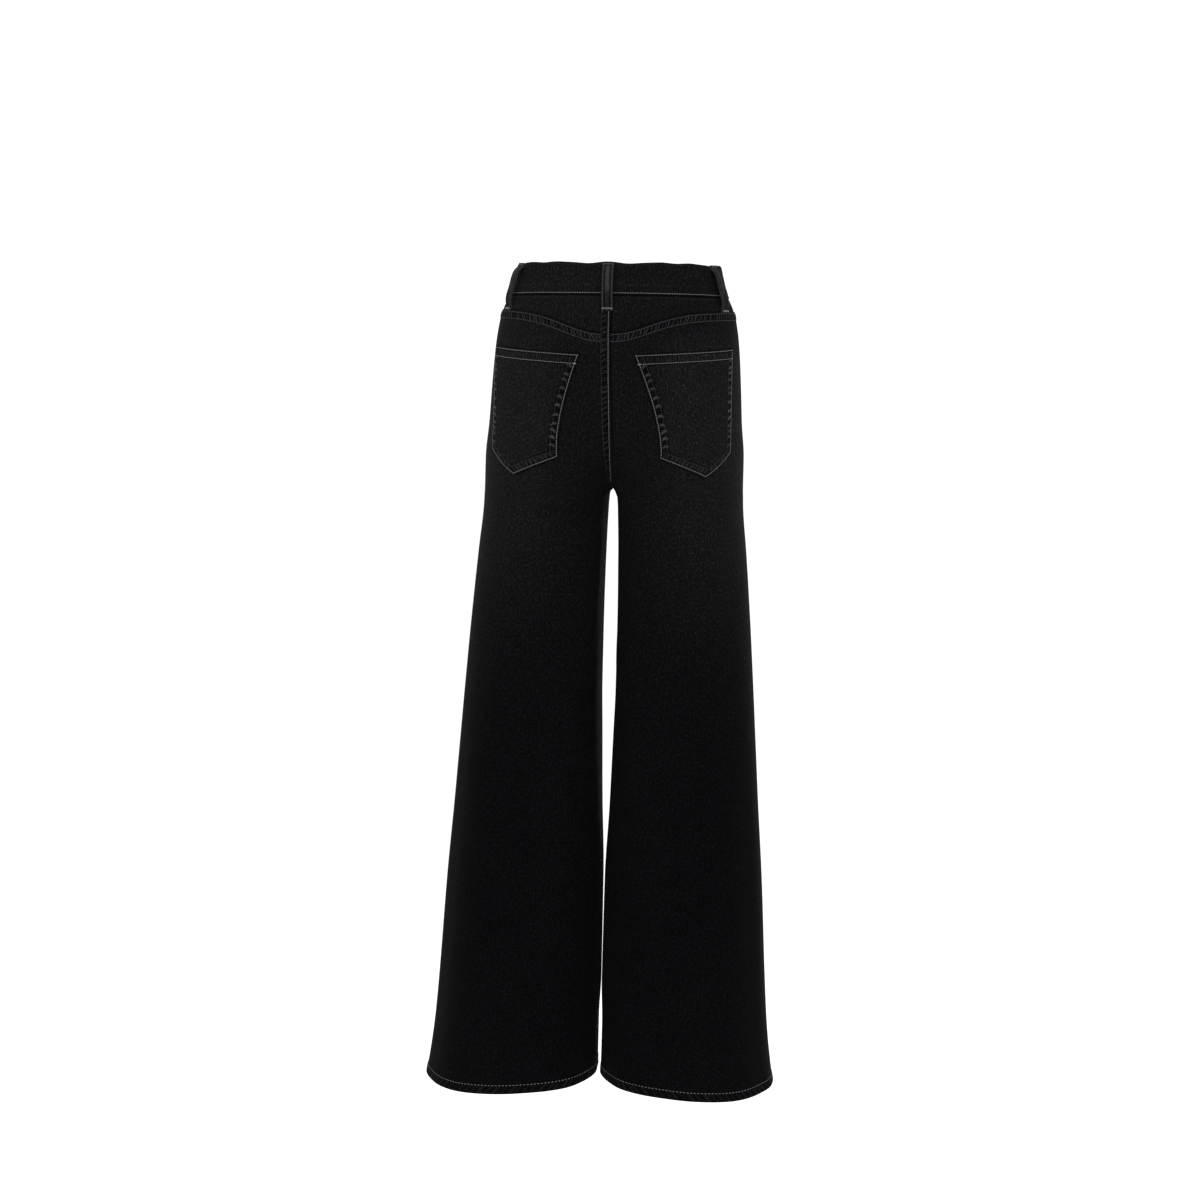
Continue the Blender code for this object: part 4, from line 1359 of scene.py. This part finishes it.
def makeBand(side, word):
    look = bandLook
    half = cut["bandDenim"] / 2
    levels = (gatheredEnds(*look["levels"]) * 2 - 1)[::-1]
    edge = float(centreSeam(np.array(0.0)))
    turns = blendTo(edge, -edge, even(look["columns"]))
    around = np.broadcast_to(turns[None, :], (len(levels), len(turns)))
    height = bandMiddle(around) + levels[:, None] * cut["bandHalfHeight"]
    middle = cloth(side, around, height, smooth=True)
    way = outward(side, around, height)
    way[..., 2] = 0
    way = unit(way)
    way[:, 0] = (0, 1, 0)
    way[:, -1] = (0, -1, 0)
    if side == -1:
        extra = []
        path = spread(np.array(look["underlap"]), 0.002)[1:]
        for x, behind in path:
            level = bandMiddle(np.array(-90.0)) + levels * cut["bandHalfHeight"]
            y = frontDepth(x, level) + behind * (cut["bandDenim"] + cut["layGap"])
            extra.append(np.stack([stance(x, y, level), y, level], axis=-1))
        seam = stance(0, middle[..., 1], middle[..., 2])
        kept = middle[..., 0] - seam < look["underlap"][0][0]
        keep = kept[len(levels) // 2] | (turns > 0)
        middle = np.concatenate([middle[:, keep], np.stack(extra, axis=1)], axis=1)
        added = np.broadcast_to(np.array([0.0, -1.0, 0.0]), (len(levels), len(extra), 3))
        way = np.concatenate([way[:, keep], added], axis=1)
    along = arcs(middle, 1)
    up = cut["bandHalfHeight"] * (levels[:, None] + 1) + along * 0
    run = (look["allowance"] - look["allowanceRun"], look["allowance"])
    rise = look["allowanceRaise"] * (1 - softStep(*run, up))
    rise = rise - stitchGroove * near(up, look["stitchLine"], look["grooveWidth"])
    down = 2 * cut["bandHalfHeight"] - up
    border = np.minimum(up, down)
    rise = rise - rounded(border, *look["edgeRound"])
    wave = sum(
        size * np.sin(along / pitch * 2 * np.pi + start) for pitch, size, start in look["waves"]
    )
    lift = softStep(*look["waveRun"], up / (2 * cut["bandHalfHeight"]))
    outer = middle + way * (half + rise)[..., None]
    inner = middle - way * half
    for grid in (outer, inner):
        grid[..., 2] += wave * lift
    strength, place, width = look["foldWear"]
    wear = strength * near(down, place, width)
    strength, width = look["allowanceWear"]
    wear = wear + strength * near(up, look["allowance"], width)
    flat = np.stack([along * side + look["shift"], up], axis=-1)
    strength, low, high = look["edgeShade"]
    shade = -strength * near(up, 0, low) - strength * near(down, 0, high)
    fields = {"fade": fadeAndLightAt(middle) + shade, "wear": wear}
    piece = addShell(f"waistband_{word}_cloth", outer, inner, fields, "denim", flat)
    settle(piece, [f"waistband_{word}"])
    return {
        "piece": piece, "outer": outer, "way": way, "middle": middle, "lengths": {"fromLow": up},
    }


bands = {side: makeBand(side, word) for side, word in sides}
print("waistband made")

# Belt loops

loopLook = {
    "width": 0.0150,
    "tackBelowBand": 0.0205,
    "standOff": 0.0070,
    "backSide": {"left": 26.0, "right": 19.0},
    "front": -64.0,
    "rows": 64,
    "columns": (0, 0.012, 0.035, 0.075, 0.125, 0.18, 0.26, 0.36, 0.5),
    "edgeRound": (0.0012, 0.0009),
    "groove": 0.0002,
    "puckerRise": 0.00025,
    "faded": 0.85,
    "shift": 4.0,
    "tacksFromEnds": (0.0024, 0.0028),
    "tackPoints": 12,
    "tackInset": 0.0018,
    "stitchFromEdge": 0.0019,
    "puckers": {
        "seed": 71, "pitch": 0.0052, "width": 0.0010, "slant": 0.2, "bow": 0.0,
        "band": (0.0002, 0.0052),
    },
    "arch": (
        (0.00, 0.00),
        (0.06, 0.02),
        (0.17, 0.78),
        (0.29, 1.00),
        (0.50, 1.00),
        (0.68, 0.98),
        (0.80, 0.62),
        (0.91, 0.04),
        (1.00, 0.00),
    ),
}


def roundedCurve(points, count):
    # a smooth curve through a few points
    points = np.asarray(points, float)
    padded = np.concatenate([[2 * points[0] - points[1]], points, [2 * points[-1] - points[-2]]])
    result = []
    for place in np.linspace(0, len(points) - 1, count):
        index = min(int(place), len(points) - 2)
        t = place - index
        a, b, c, d = padded[index : index + 4]
        result.append(
            b + 0.5 * t * (c - a + t * (2 * a - 5 * b + 4 * c - d + t * (3 * (b - c) + d - a)))
        )
    return np.array(result)


def makeLoop(side, turn, name):
    look = loopLook
    top = float(bandMiddle(turn)) + cut["bandHalfHeight"]
    low = float(bandLow(turn)) - look["tackBelowBand"]
    out = outward(side, turn, float(bandMiddle(turn)))
    if turn == 90:
        out = np.array([0.0, 1.0, 0.0])
    out[2] = 0
    out = unit(out)
    across = np.cross([0, 0, 1], out)
    knots = []
    for step, lift in look["arch"]:
        height = blendTo(top, low, step)
        onBand = height > float(bandLow(turn)) - cut["loopDenim"]
        under = (cut["bandDenim"] if onBand else cut["denim"]) / 2
        seat = under + cut["layGap"] + cut["loopDenim"] / 2
        high = cut["bandDenim"] / 2 + look["standOff"] + cut["loopDenim"] / 2
        away = blendTo(seat, high, lift)
        if turn == 90:
            y = float(ringAt(np.array(height))["back"])
            seam = np.array([stance(0, y, height), y, height])
        else:
            seam = cloth(side, turn, height, smooth=True)
        knots.append(seam + out * away)
    line = roundedCurve(knots, look["rows"])
    run = unit(np.gradient(line, axis=0))
    face = unit(np.cross(across, -run))
    face = np.where((face @ out)[:, None] < 0, -face, face)
    shares = np.array(look["columns"])
    shares = np.concatenate([shares, 1 - shares[-2::-1]])
    place = line[:, None, :] + across * ((shares - 0.5) * look["width"])[None, :, None]
    edge = np.minimum(shares, 1 - shares) * look["width"]
    down = arcs(line[:, None, :], 0)
    length = down[-1, 0]
    ends = np.minimum(down, length - down)
    fromEdge = edge[None, :] + 0 * down
    rise = -rounded(fromEdge, *look["edgeRound"])
    rise = rise - look["groove"] * near(fromEdge, look["stitchFromEdge"], 0.0008)
    ridges = puckers(down + 0 * fromEdge, fromEdge, look["puckers"])
    rise = rise + look["puckerRise"] * ridges - 0.0006 * near(ends, 0, 0.0010)
    outer = place + face[:, None, :] * (cut["loopDenim"] / 2 + rise)[..., None]
    seated = cut["layGap"] * 0.9 * (1 - softStep(0.003, 0.006, ends))
    inner = place - face[:, None, :] * (cut["loopDenim"] / 2 + seated + 0 * fromEdge)[..., None]
    worn = softStep(0.003, 0.007, down) * (1 - 0.75 * softStep(0.55, 0.68, down / length))
    wear = worn * 0.50 * near(fromEdge, look["width"] / 2, 0.0026)
    wear = wear + 0.18 * near(fromEdge, 0.0009, 0.0010) + 0.10 * np.maximum(ridges, 0)
    shade = -0.9 * near(fromEdge, 0.0040, 0.0010)
    flat = np.stack([shares * look["width"] + down * 0, down + shares * 0], axis=-1)
    fields = {"fade": look["faded"] + shade, "wear": wear}
    piece = addShell(f"{name}_cloth", outer, inner, fields, "denim", flat + look["shift"])
    settle(piece, [name])
    rows = slice(1, -1)
    normals = face[rows]
    lines = []
    for sign in (-1, 1):
        shift = sign * (look["width"] / 2 - look["stitchFromEdge"])
        height = cut["loopDenim"] / 2 - look["groove"]
        lines.append((line[rows] + across * shift + normals * height, normals))
    stitches = addStitches(f"{name}_stitches", lines, finish="tonalThread")
    settle(stitches)
    tacks = []
    count = look["tackPoints"]
    for distance in (look["tacksFromEnds"][0], length - look["tacksFromEnds"][1]):
        centre = np.array([np.interp(distance, down[:, 0], line[:, k]) for k in range(3)])
        normal = np.array([np.interp(distance, down[:, 0], face[:, k]) for k in range(3)])
        shifts = np.linspace(-0.5, 0.5, count)[:, None] * (look["width"] - look["tackInset"])
        places = centre + across * shifts + normal * (cut["loopDenim"] / 2)
        tacks.append((places, np.tile(normal, (count, 1))))
    upper = addStitches(f"{name}_upper_tack", tacks[:1], "tack", "tonalThread")
    lower = addStitches(f"{name}_lower_tack", tacks[1:], "tack")
    settle(upper)
    settle(lower)
    loops[name] = {"piece": piece, "middle": place, "with": [stitches, upper, lower]}


loops = {}
makeLoop(1, 90, "belt_loop_centre_back")
for side, word in sides:
    makeLoop(side, loopLook["backSide"][word], f"belt_loop_back_{word}")
    makeLoop(side, loopLook["front"], f"belt_loop_front_{word}")
print("belt loops made")

# Seams: the folded ply that lies on top, with its rows of stitches

seams = {
    # rises, rows of stitches and their thread, puckers between the rows, how far they rub, and how dark
    # the painted shade in the hollows between them is
    "yoke": {
        "width": 0.0132, "raise": 0.0006, "lines": (0.0020, 0.0109),
        "rise": 0.0005, "rub": 0.60, "hollow": 4.0,
        "threads": ("tonalThread", "tonalThread"),
        "puckers": {
            "seed": 41, "pitch": 0.0049, "width": 0.0009, "slant": 0.45, "bow": 0.0,
            "band": (0.0026, 0.0104),
        },
    },
    "centre": {
        "width": 0.0134, "raise": 0.0011, "lines": (0.0020, 0.0113),
        "rise": 0.0004, "rub": 0.30, "hollow": 3.0,
        "threads": ("thread", "sunkThread"),
        "puckers": {
            "seed": 12, "pitch": 0.0078, "width": 0.0011, "slant": 0.5, "bow": 0.0,
            "band": (0.0036, 0.0126),
        },
    },
    "mouth": {
        "width": 0.0104, "raise": 0.0005, "lines": (0.0020, 0.0084),
        "rise": 0.0004, "rub": 0.40, "hollow": 3.0,
        "threads": ("thread", "tonalThread"),
        "puckers": {
            "seed": 31, "pitch": 0.0066, "width": 0.0011, "slant": 0.3, "bow": 0.0,
            "band": (0.0026, 0.0080),
        },
    },
    "hem": {
        "width": 0.0142, "raise": 0.0004, "lines": (0.0117,),
        "rise": 0.00045, "rub": 0.16, "hollow": 1.5,
        "threads": ("thread",),
        "puckers": {
            "seed": 23, "pitch": 0.0098, "width": 0.0022, "slant": 0.8, "bow": 0.0,
            "band": (0.0004, 0.0110),
        },
    },
}


def addSeam(name, shell, border, kind, keep=None, stitch="top"):
    look = seams[kind]
    edge, first, step = seamLook["rows"]
    distances = np.concatenate([edge, np.arange(first, look["width"], step)])
    if border == "fromInner" and kind == "centre" and shell is not legs["front", 1]:
        past = seamLap(shell["outer"][:, -1, 2])
    else:
        past = seamLook["overhang"]
    lines = [lineFrom(shell, border, distance - past) for distance in distances]
    places = np.stack([line[0] for line in lines])
    ways = np.stack([line[1] for line in lines])
    if keep is not None:
        kept = keep(places[len(places) // 2])
        places, ways = places[:, kept], ways[:, kept]
    length = arcs(places[len(places) // 2][None], 1)[0]
    marks = np.linspace(0, length[-1], int(length[-1] / seamLook["facet"]) + 2)

    def denser(grid):
        rows = [[np.interp(marks, length, row[:, axis]) for axis in range(3)] for row in grid]
        return np.array(rows).transpose(0, 2, 1)

    places, ways = denser(places), unit(denser(ways))
    away = distances[:, None] + 0 * marks[None, :]
    along = marks[None, :] + 0 * away
    ridges = puckers(along, away, look["puckers"])
    end = 1 - softStep(look["width"] - 0.0030, look["width"] - 0.0006, away)
    rise = look["raise"] * end + look["rise"] * ridges
    if kind == "yoke":
        # it runs in under the centre seam
        rise = rise * softStep(*seamLook["yokeEnd"], marks[-1] - marks)
    rise = rise + seamLook["lift"]
    # painted shade in the hollows between the puckers
    shade = look["hollow"] * np.minimum(ridges, 0)
    dark, past, width = seamLook["lineShade"]
    for line in look["lines"]:
        rise -= stitchGroove * near(away, line, width)
        shade -= dark * near(away, line + past, width)
    rise -= rounded(away, *seamLook["edgeRound"])
    wear = look["rub"] * np.maximum(ridges, 0)
    outer = places + ways * rise[..., None]
    inner = places - ways * seamLook["sink"]
    fields = {"fade": fadeAndLightAt(places) + shade, "wear": wear}
    flat = np.stack([along, -away], axis=-1)
    if border in ("fromInner", "fromOuter"):
        flat = flat[..., ::-1]
    ply = addShell(name, outer, inner, fields, "denim", flat + seamLook["shift"])
    settle(ply)
    parts = [ply]
    for number, (line, finish) in enumerate(zip(look["lines"], look["threads"]), start=1):
        row = int(np.argmin(np.abs(distances - line)))
        path = [(outer[row], ways[row])]
        stitches = addStitches(f"{name}_stitches_{number}", path, stitch, finish)
        settle(stitches)
        parts.append(stitches)
    shell.setdefault("with", []).extend(parts)


def aboveCrotch(points):
    return points[:, 2] > cut["crotchHeight"] + 0.001


def belowFly(points):
    return aboveCrotch(points) & (points[:, 2] < flyLook["seamTop"])


def alongMouth(points):
    return points[:, 2] > mouthLook["lowHeight"] + 0.001


flyLook = {
    "length": 0.138,
    "zipSpan": (-0.006, 0.020),
    "shieldSpan": (-0.022, 0.036),
    "zipDenim": 0.0008,
    "slider": (0.009, 0.0014, 0.012),
    "sliderBelowTop": 0.004,
    "seamTop": -0.176,
    "stitchFromEdge": (0.0340, 0.0400),
    "turnHeight": -0.138,
    "endHeight": -0.172,
    "straightPoints": 39,
    "bentPoints": 26,
    "bend": 88,
    "teethAboveFoot": 0.004,
    "teethPoints": 40,
    "lift": 0.0001,
}
addSeam("yoke_seam_left", legs["back", 1], "fromTop", "yoke")
addSeam("yoke_seam_right", legs["back", -1], "fromTop", "yoke")
addSeam("centre_seam_yoke", yokes[1], "fromInner", "centre")
addSeam("centre_seam_back", legs["back", 1], "fromInner", "centre", aboveCrotch)
addSeam("centre_seam_front", legs["front", 1], "fromInner", "centre", belowFly)
for side, word in sides:
    addSeam(f"mouth_{word}", legs["front", side], "fromOuter", "mouth", alongMouth)
    for half in ("back", "front"):
        addSeam(f"hem_{half}_{word}", legs[half, side], "fromLow", "hem", stitch="hem")
lines = [lineFrom(bands[side], "fromLow", bandLook["stitchLine"]) for side in (1, -1)]
bandStitches = addStitches("waistband_stitches", lines)
settle(bandStitches)
print("seams made")

# Fly: zip tape, teeth, slider and shield

strips = {}


def strip(name, span, start, length, depth, thick, finish, columns, rows):
    x = blendTo(span[0], span[1], even(columns))[None, :]
    height = (start - length * even(rows))[:, None]
    y = frontDepth(x, height + 0 * x) + depth
    outer = np.stack([stance(x, y, height), y, height + 0 * x], axis=-1)
    inner = outer + np.array([0, thick, 0])
    piece = addShell(f"{name}_cloth", outer, inner, {"fade": 0.6}, finish)
    settle(piece, [name])
    strips[name] = outer
    return piece


flyTop = float(bandLow(-90.0)) - cut["seamGap"]
zipDepth = cut["denim"] / 2 + cut["flyGap"]
sliderDepth = zipDepth + flyLook["zipDenim"] + cut["seamGap"]
shieldDepth = sliderDepth + flyLook["slider"][1] + cut["seamGap"]
zipTape = strip(
    "fly_zip", flyLook["zipSpan"], flyTop, flyLook["length"], zipDepth, flyLook["zipDenim"],
    "tape", 14, 60,
)
shield = strip(
    "fly_shield", flyLook["shieldSpan"], flyTop, flyLook["length"], shieldDepth, cut["denim"],
    "denim", 24, 60,
)
zipMiddle = sum(flyLook["zipSpan"]) / 2
sliderSpan = (zipMiddle - flyLook["slider"][0] / 2, zipMiddle + flyLook["slider"][0] / 2)
strip(
    "zip_slider", sliderSpan, flyTop - flyLook["sliderBelowTop"], flyLook["slider"][2],
    sliderDepth, flyLook["slider"][1], "metal", 8, 10,
)
teethTop = flyTop - flyLook["sliderBelowTop"] - flyLook["slider"][2]
teethLow = flyTop - flyLook["length"] + flyLook["teethAboveFoot"]
level = np.linspace(teethTop, teethLow, flyLook["teethPoints"])
x = np.full_like(level, zipMiddle)
y = frontDepth(x, level) + zipDepth + flyLook["zipDenim"] - flyLook["lift"]
places = np.stack([stance(x, y, level), y, level], axis=-1)
ways = np.tile([0.0, 1.0, 0.0], (len(level), 1))
teeth = addStitches("zip_teeth", [(places, ways)], "teeth", "metal")
settle(teeth)


def frontPlace(away, height):
    # a place on the left front at a length along the cloth from the centre
    turns = blendTo(-centreSeam(height), -30.0, even(60))
    points = cloth(1, turns, height)
    around = np.interp(away, arcs(points[None], 1)[0], turns)
    way = outward(1, around, height)
    return cloth(1, around, height) + way * (cut["denim"] / 2 + flyLook["lift"]), way


def flyLine(fromEdge):
    # down beside the fly and round to the centre seam at its foot
    turn, end, count = flyLook["turnHeight"], flyLook["endHeight"], flyLook["straightPoints"]
    bend = np.radians(np.linspace(0, flyLook["bend"], flyLook["bentPoints"]))
    straight = np.linspace(flyTop - 0.001, turn, count, endpoint=False)
    heights = np.concatenate([straight, turn - (turn - end) * np.sin(bend)])
    away = np.concatenate([np.full(count, fromEdge), fromEdge * np.cos(bend)])
    made = [frontPlace(a, h) for a, h in zip(away, heights)]
    return np.array([place for place, way in made]), np.array([way for place, way in made])


flyStitches = addStitches("fly_stitches", [flyLine(edge) for edge in flyLook["stitchFromEdge"]])
settle(flyStitches)
legs["front", 1].setdefault("with", []).append(flyStitches)
print("fly made")

# Waist button, turned

buttonLook = {
    "profile": (
        (0.0074, 0.0000),
        (0.0082, 0.0003),
        (0.0085, 0.0009),
        (0.0086, 0.0017),
        (0.0085, 0.0023),
        (0.0082, 0.0028),
        (0.0076, 0.0031),
        (0.0070, 0.0032),
        (0.0065, 0.0030),
        (0.0062, 0.0027),
        (0.0056, 0.0025),
        (0.0040, 0.0026),
        (0.0030, 0.0029),
        (0.0024, 0.0030),
        (0.0010, 0.0031),
    ),
    "fromCentre": 0.018,
    "segments": 56,
    "slopeStep": 0.001,
    "hole": (0.005, 0.029),
    "holeHalfGap": 0.0013,
    "holeLift": 0.0001,
}


def makeButton():
    look = buttonLook
    height, x, step = float(bandMiddle(-90.0)), look["fromCentre"], look["slopeStep"]

    def depth(px, pz):
        return float(frontDepth(np.array(px), np.array(pz)))

    slopeX = (depth(x + step, height) - depth(x - step, height)) / (2 * step)
    slopeZ = (depth(x, height + step) - depth(x, height - step)) / (2 * step)
    y = depth(x, height) - cut["bandDenim"] / 2 - cut["seamGap"]
    base = Vector((float(stance(x, y, height)), y, height))
    out = Vector((slopeX, -1, slopeZ)).normalized()
    across = Vector((0, 0, 1)).cross(out).normalized()
    up = out.cross(across)
    points, faces = [base], []
    count = look["segments"]
    for radius, rise in look["profile"]:
        for segment in range(count):
            turn = 2 * math.pi * segment / count
            spoke = across * math.cos(turn) + up * math.sin(turn)
            points.append(base + spoke * radius + out * rise)
    points.append(base + out * look["profile"][-1][1])
    last = len(points) - 1
    for segment in range(count):
        after = (segment + 1) % count
        faces.append((0, 1 + after, 1 + segment))
        faces.append((last, last - count + segment, last - count + after))
        for level in range(len(look["profile"]) - 1):
            low = 1 + level * count
            high = low + count
            faces.append((low + segment, low + after, high + after, high + segment))
    mesh = bpy.data.meshes.new("waist_button_cap")
    mesh.from_pydata(points, [], faces)
    mesh.materials.append(finishes["metal"])
    mesh.shade_smooth()
    made = bpy.data.objects.new("waist_button_cap", mesh)
    bpy.context.scene.collection.objects.link(made)
    settle(made, ["waist_button"])
    return made


makeButton()
print("button made")


def makeButtonhole():
    # two rows of close stitches, the second one after the other's turn at the outer end
    middle, half = float(bandMiddle(-90.0)), cut["bandDenim"] / 2
    turn = np.linspace(-90, 90, 9)
    (inner, outer), gap = buttonLook["hole"], buttonLook["holeHalfGap"]
    x = np.concatenate([[inner], outer + gap * np.cos(np.radians(turn)), [inner]])
    height = middle + np.concatenate([[-gap], gap * np.sin(np.radians(turn)), [gap]])
    x, height = spread(np.stack([x, height], axis=1), 0.001).T
    y = frontDepth(x, height) - half - buttonLook["holeLift"]
    places = np.stack([stance(x, y, height), y, height], axis=-1)
    ways = np.tile([0.0, -1.0, 0.0], (len(places), 1))
    made = addStitches("buttonhole", [(places, ways)], "hole", "tonalThread")
    settle(made)
    return made


bands[1]["with"] = [bandStitches, makeButtonhole()]

# Cloth: the area of each sheet's middle grid, worked out and not used further


def declare(made, hangsFrom):
    middle = made["middle"]
    first = middle[1:, 1:] - middle[:-1, :-1]
    second = middle[1:, :-1] - middle[:-1, 1:]
    area = float(np.linalg.norm(np.cross(first, second), axis=-1).sum() / 2)


declare(bands[1], ())
declare(bands[-1], ())
for side, word in sides:
    band = [f"waistband_{word}_cloth"]
    declare(yokes[side], band)
    declare(legs["back", side], [f"yoke_{word}_cloth"])
    declare(legs["front", side], band)
    declare(facings[side], band)
    declare(pockets[side], [f"back_{word}_cloth"])
for name, made in loops.items():
    declare(made, ["waistband_right_cloth" if "right" in name else "waistband_left_cloth"])
declare({"piece": zipTape, "middle": strips["fly_zip"], "with": [teeth]}, ["front_left_cloth"])
declare({"piece": shield, "middle": strips["fly_shield"]}, ["front_right_cloth"])

# Camera, floor and light

view = {
    "target": (0.0208, 0.0, -0.427),
    "distance": 3.6,
    "height": 0.013,
    "yaw": 5.0,
    "roll": 0.65,
    "focal": 2700.0,
    "frame": 1200.0,
}


def makeCamera():
    target = Vector(view["target"])
    pitch = math.asin((view["height"] - target.z) / view["distance"])
    yaw = math.radians(view["yaw"])
    level = math.cos(pitch)
    away = Vector((-math.sin(yaw) * level, math.cos(yaw) * level, math.sin(pitch)))
    right = Vector((-math.cos(yaw), -math.sin(yaw), 0))
    up = right.cross(-away)
    roll = math.radians(view["roll"])
    turnedRight = right * math.cos(roll) + up * math.sin(roll)
    turnedUp = up * math.cos(roll) - right * math.sin(roll)
    data = bpy.data.cameras.new("camera")
    data.sensor_width = 36
    data.lens = view["focal"] / view["frame"] * data.sensor_width
    made = bpy.data.objects.new("camera", data)
    turn = Matrix((turnedRight, turnedUp, away)).transposed().to_4x4()
    made.matrix_world = Matrix.Translation(target + away * view["distance"]) @ turn
    bpy.context.scene.collection.objects.link(made)
    bpy.context.scene.camera = made


makeCamera()

studio = {
    "floorHeight": -1.9,
    "floorSize": 30.0,
    "white": (0.93, 0.93, 0.93),
    "worldStrength": 1.15,
}


def makeStudio():
    size, low = studio["floorSize"], studio["floorHeight"]
    mesh = bpy.data.meshes.new("floor")
    corners = [(-size, -size, low), (size, -size, low), (size, size, low), (-size, size, low)]
    mesh.from_pydata(corners, [], [(0, 1, 2, 3)])
    fixed = {"Specular IOR Level": 0.0, "Roughness": 1.0, "Base Color": (*studio["white"], 1)}
    mesh.materials.append(newMaterial("floor", fixed)[0])
    floor = bpy.data.objects.new("floor", mesh)
    bpy.context.scene.collection.objects.link(floor)
    world = bpy.data.worlds.new("studio")
    world.use_nodes = True
    background = world.node_tree.nodes["Background"].inputs
    background["Color"].default_value = (1, 1, 1, 1)
    background["Strength"].default_value = studio["worldStrength"]
    bpy.context.scene.world = world


lights = (
    # name, place, aim, width, height, watts
    ("key", (-1.6, 3.0, 2.2), (0, 0, -0.3), 1.6, 1.6, 60),
    ("fill", (2.4, 2.4, 1.2), (0, 0, -0.5), 1.8, 1.8, 35),
    ("front", (0.5, -3.2, 1.8), (0, 0, -0.5), 2.0, 2.0, 40),
)


def makeLights():
    for name, place, aim, width, height, watts in lights:
        data = bpy.data.lights.new(name, "AREA")
        data.shape = "RECTANGLE"
        data.size, data.size_y, data.energy = width, height, watts
        made = bpy.data.objects.new(name, data)
        made.location = place
        made.rotation_euler = (Vector(aim) - Vector(place)).to_track_quat("-Z", "Y").to_euler()
        bpy.context.scene.collection.objects.link(made)


makeStudio()
makeLights()
bpy.context.scene.view_settings.view_transform = "Standard"
print("studio made")
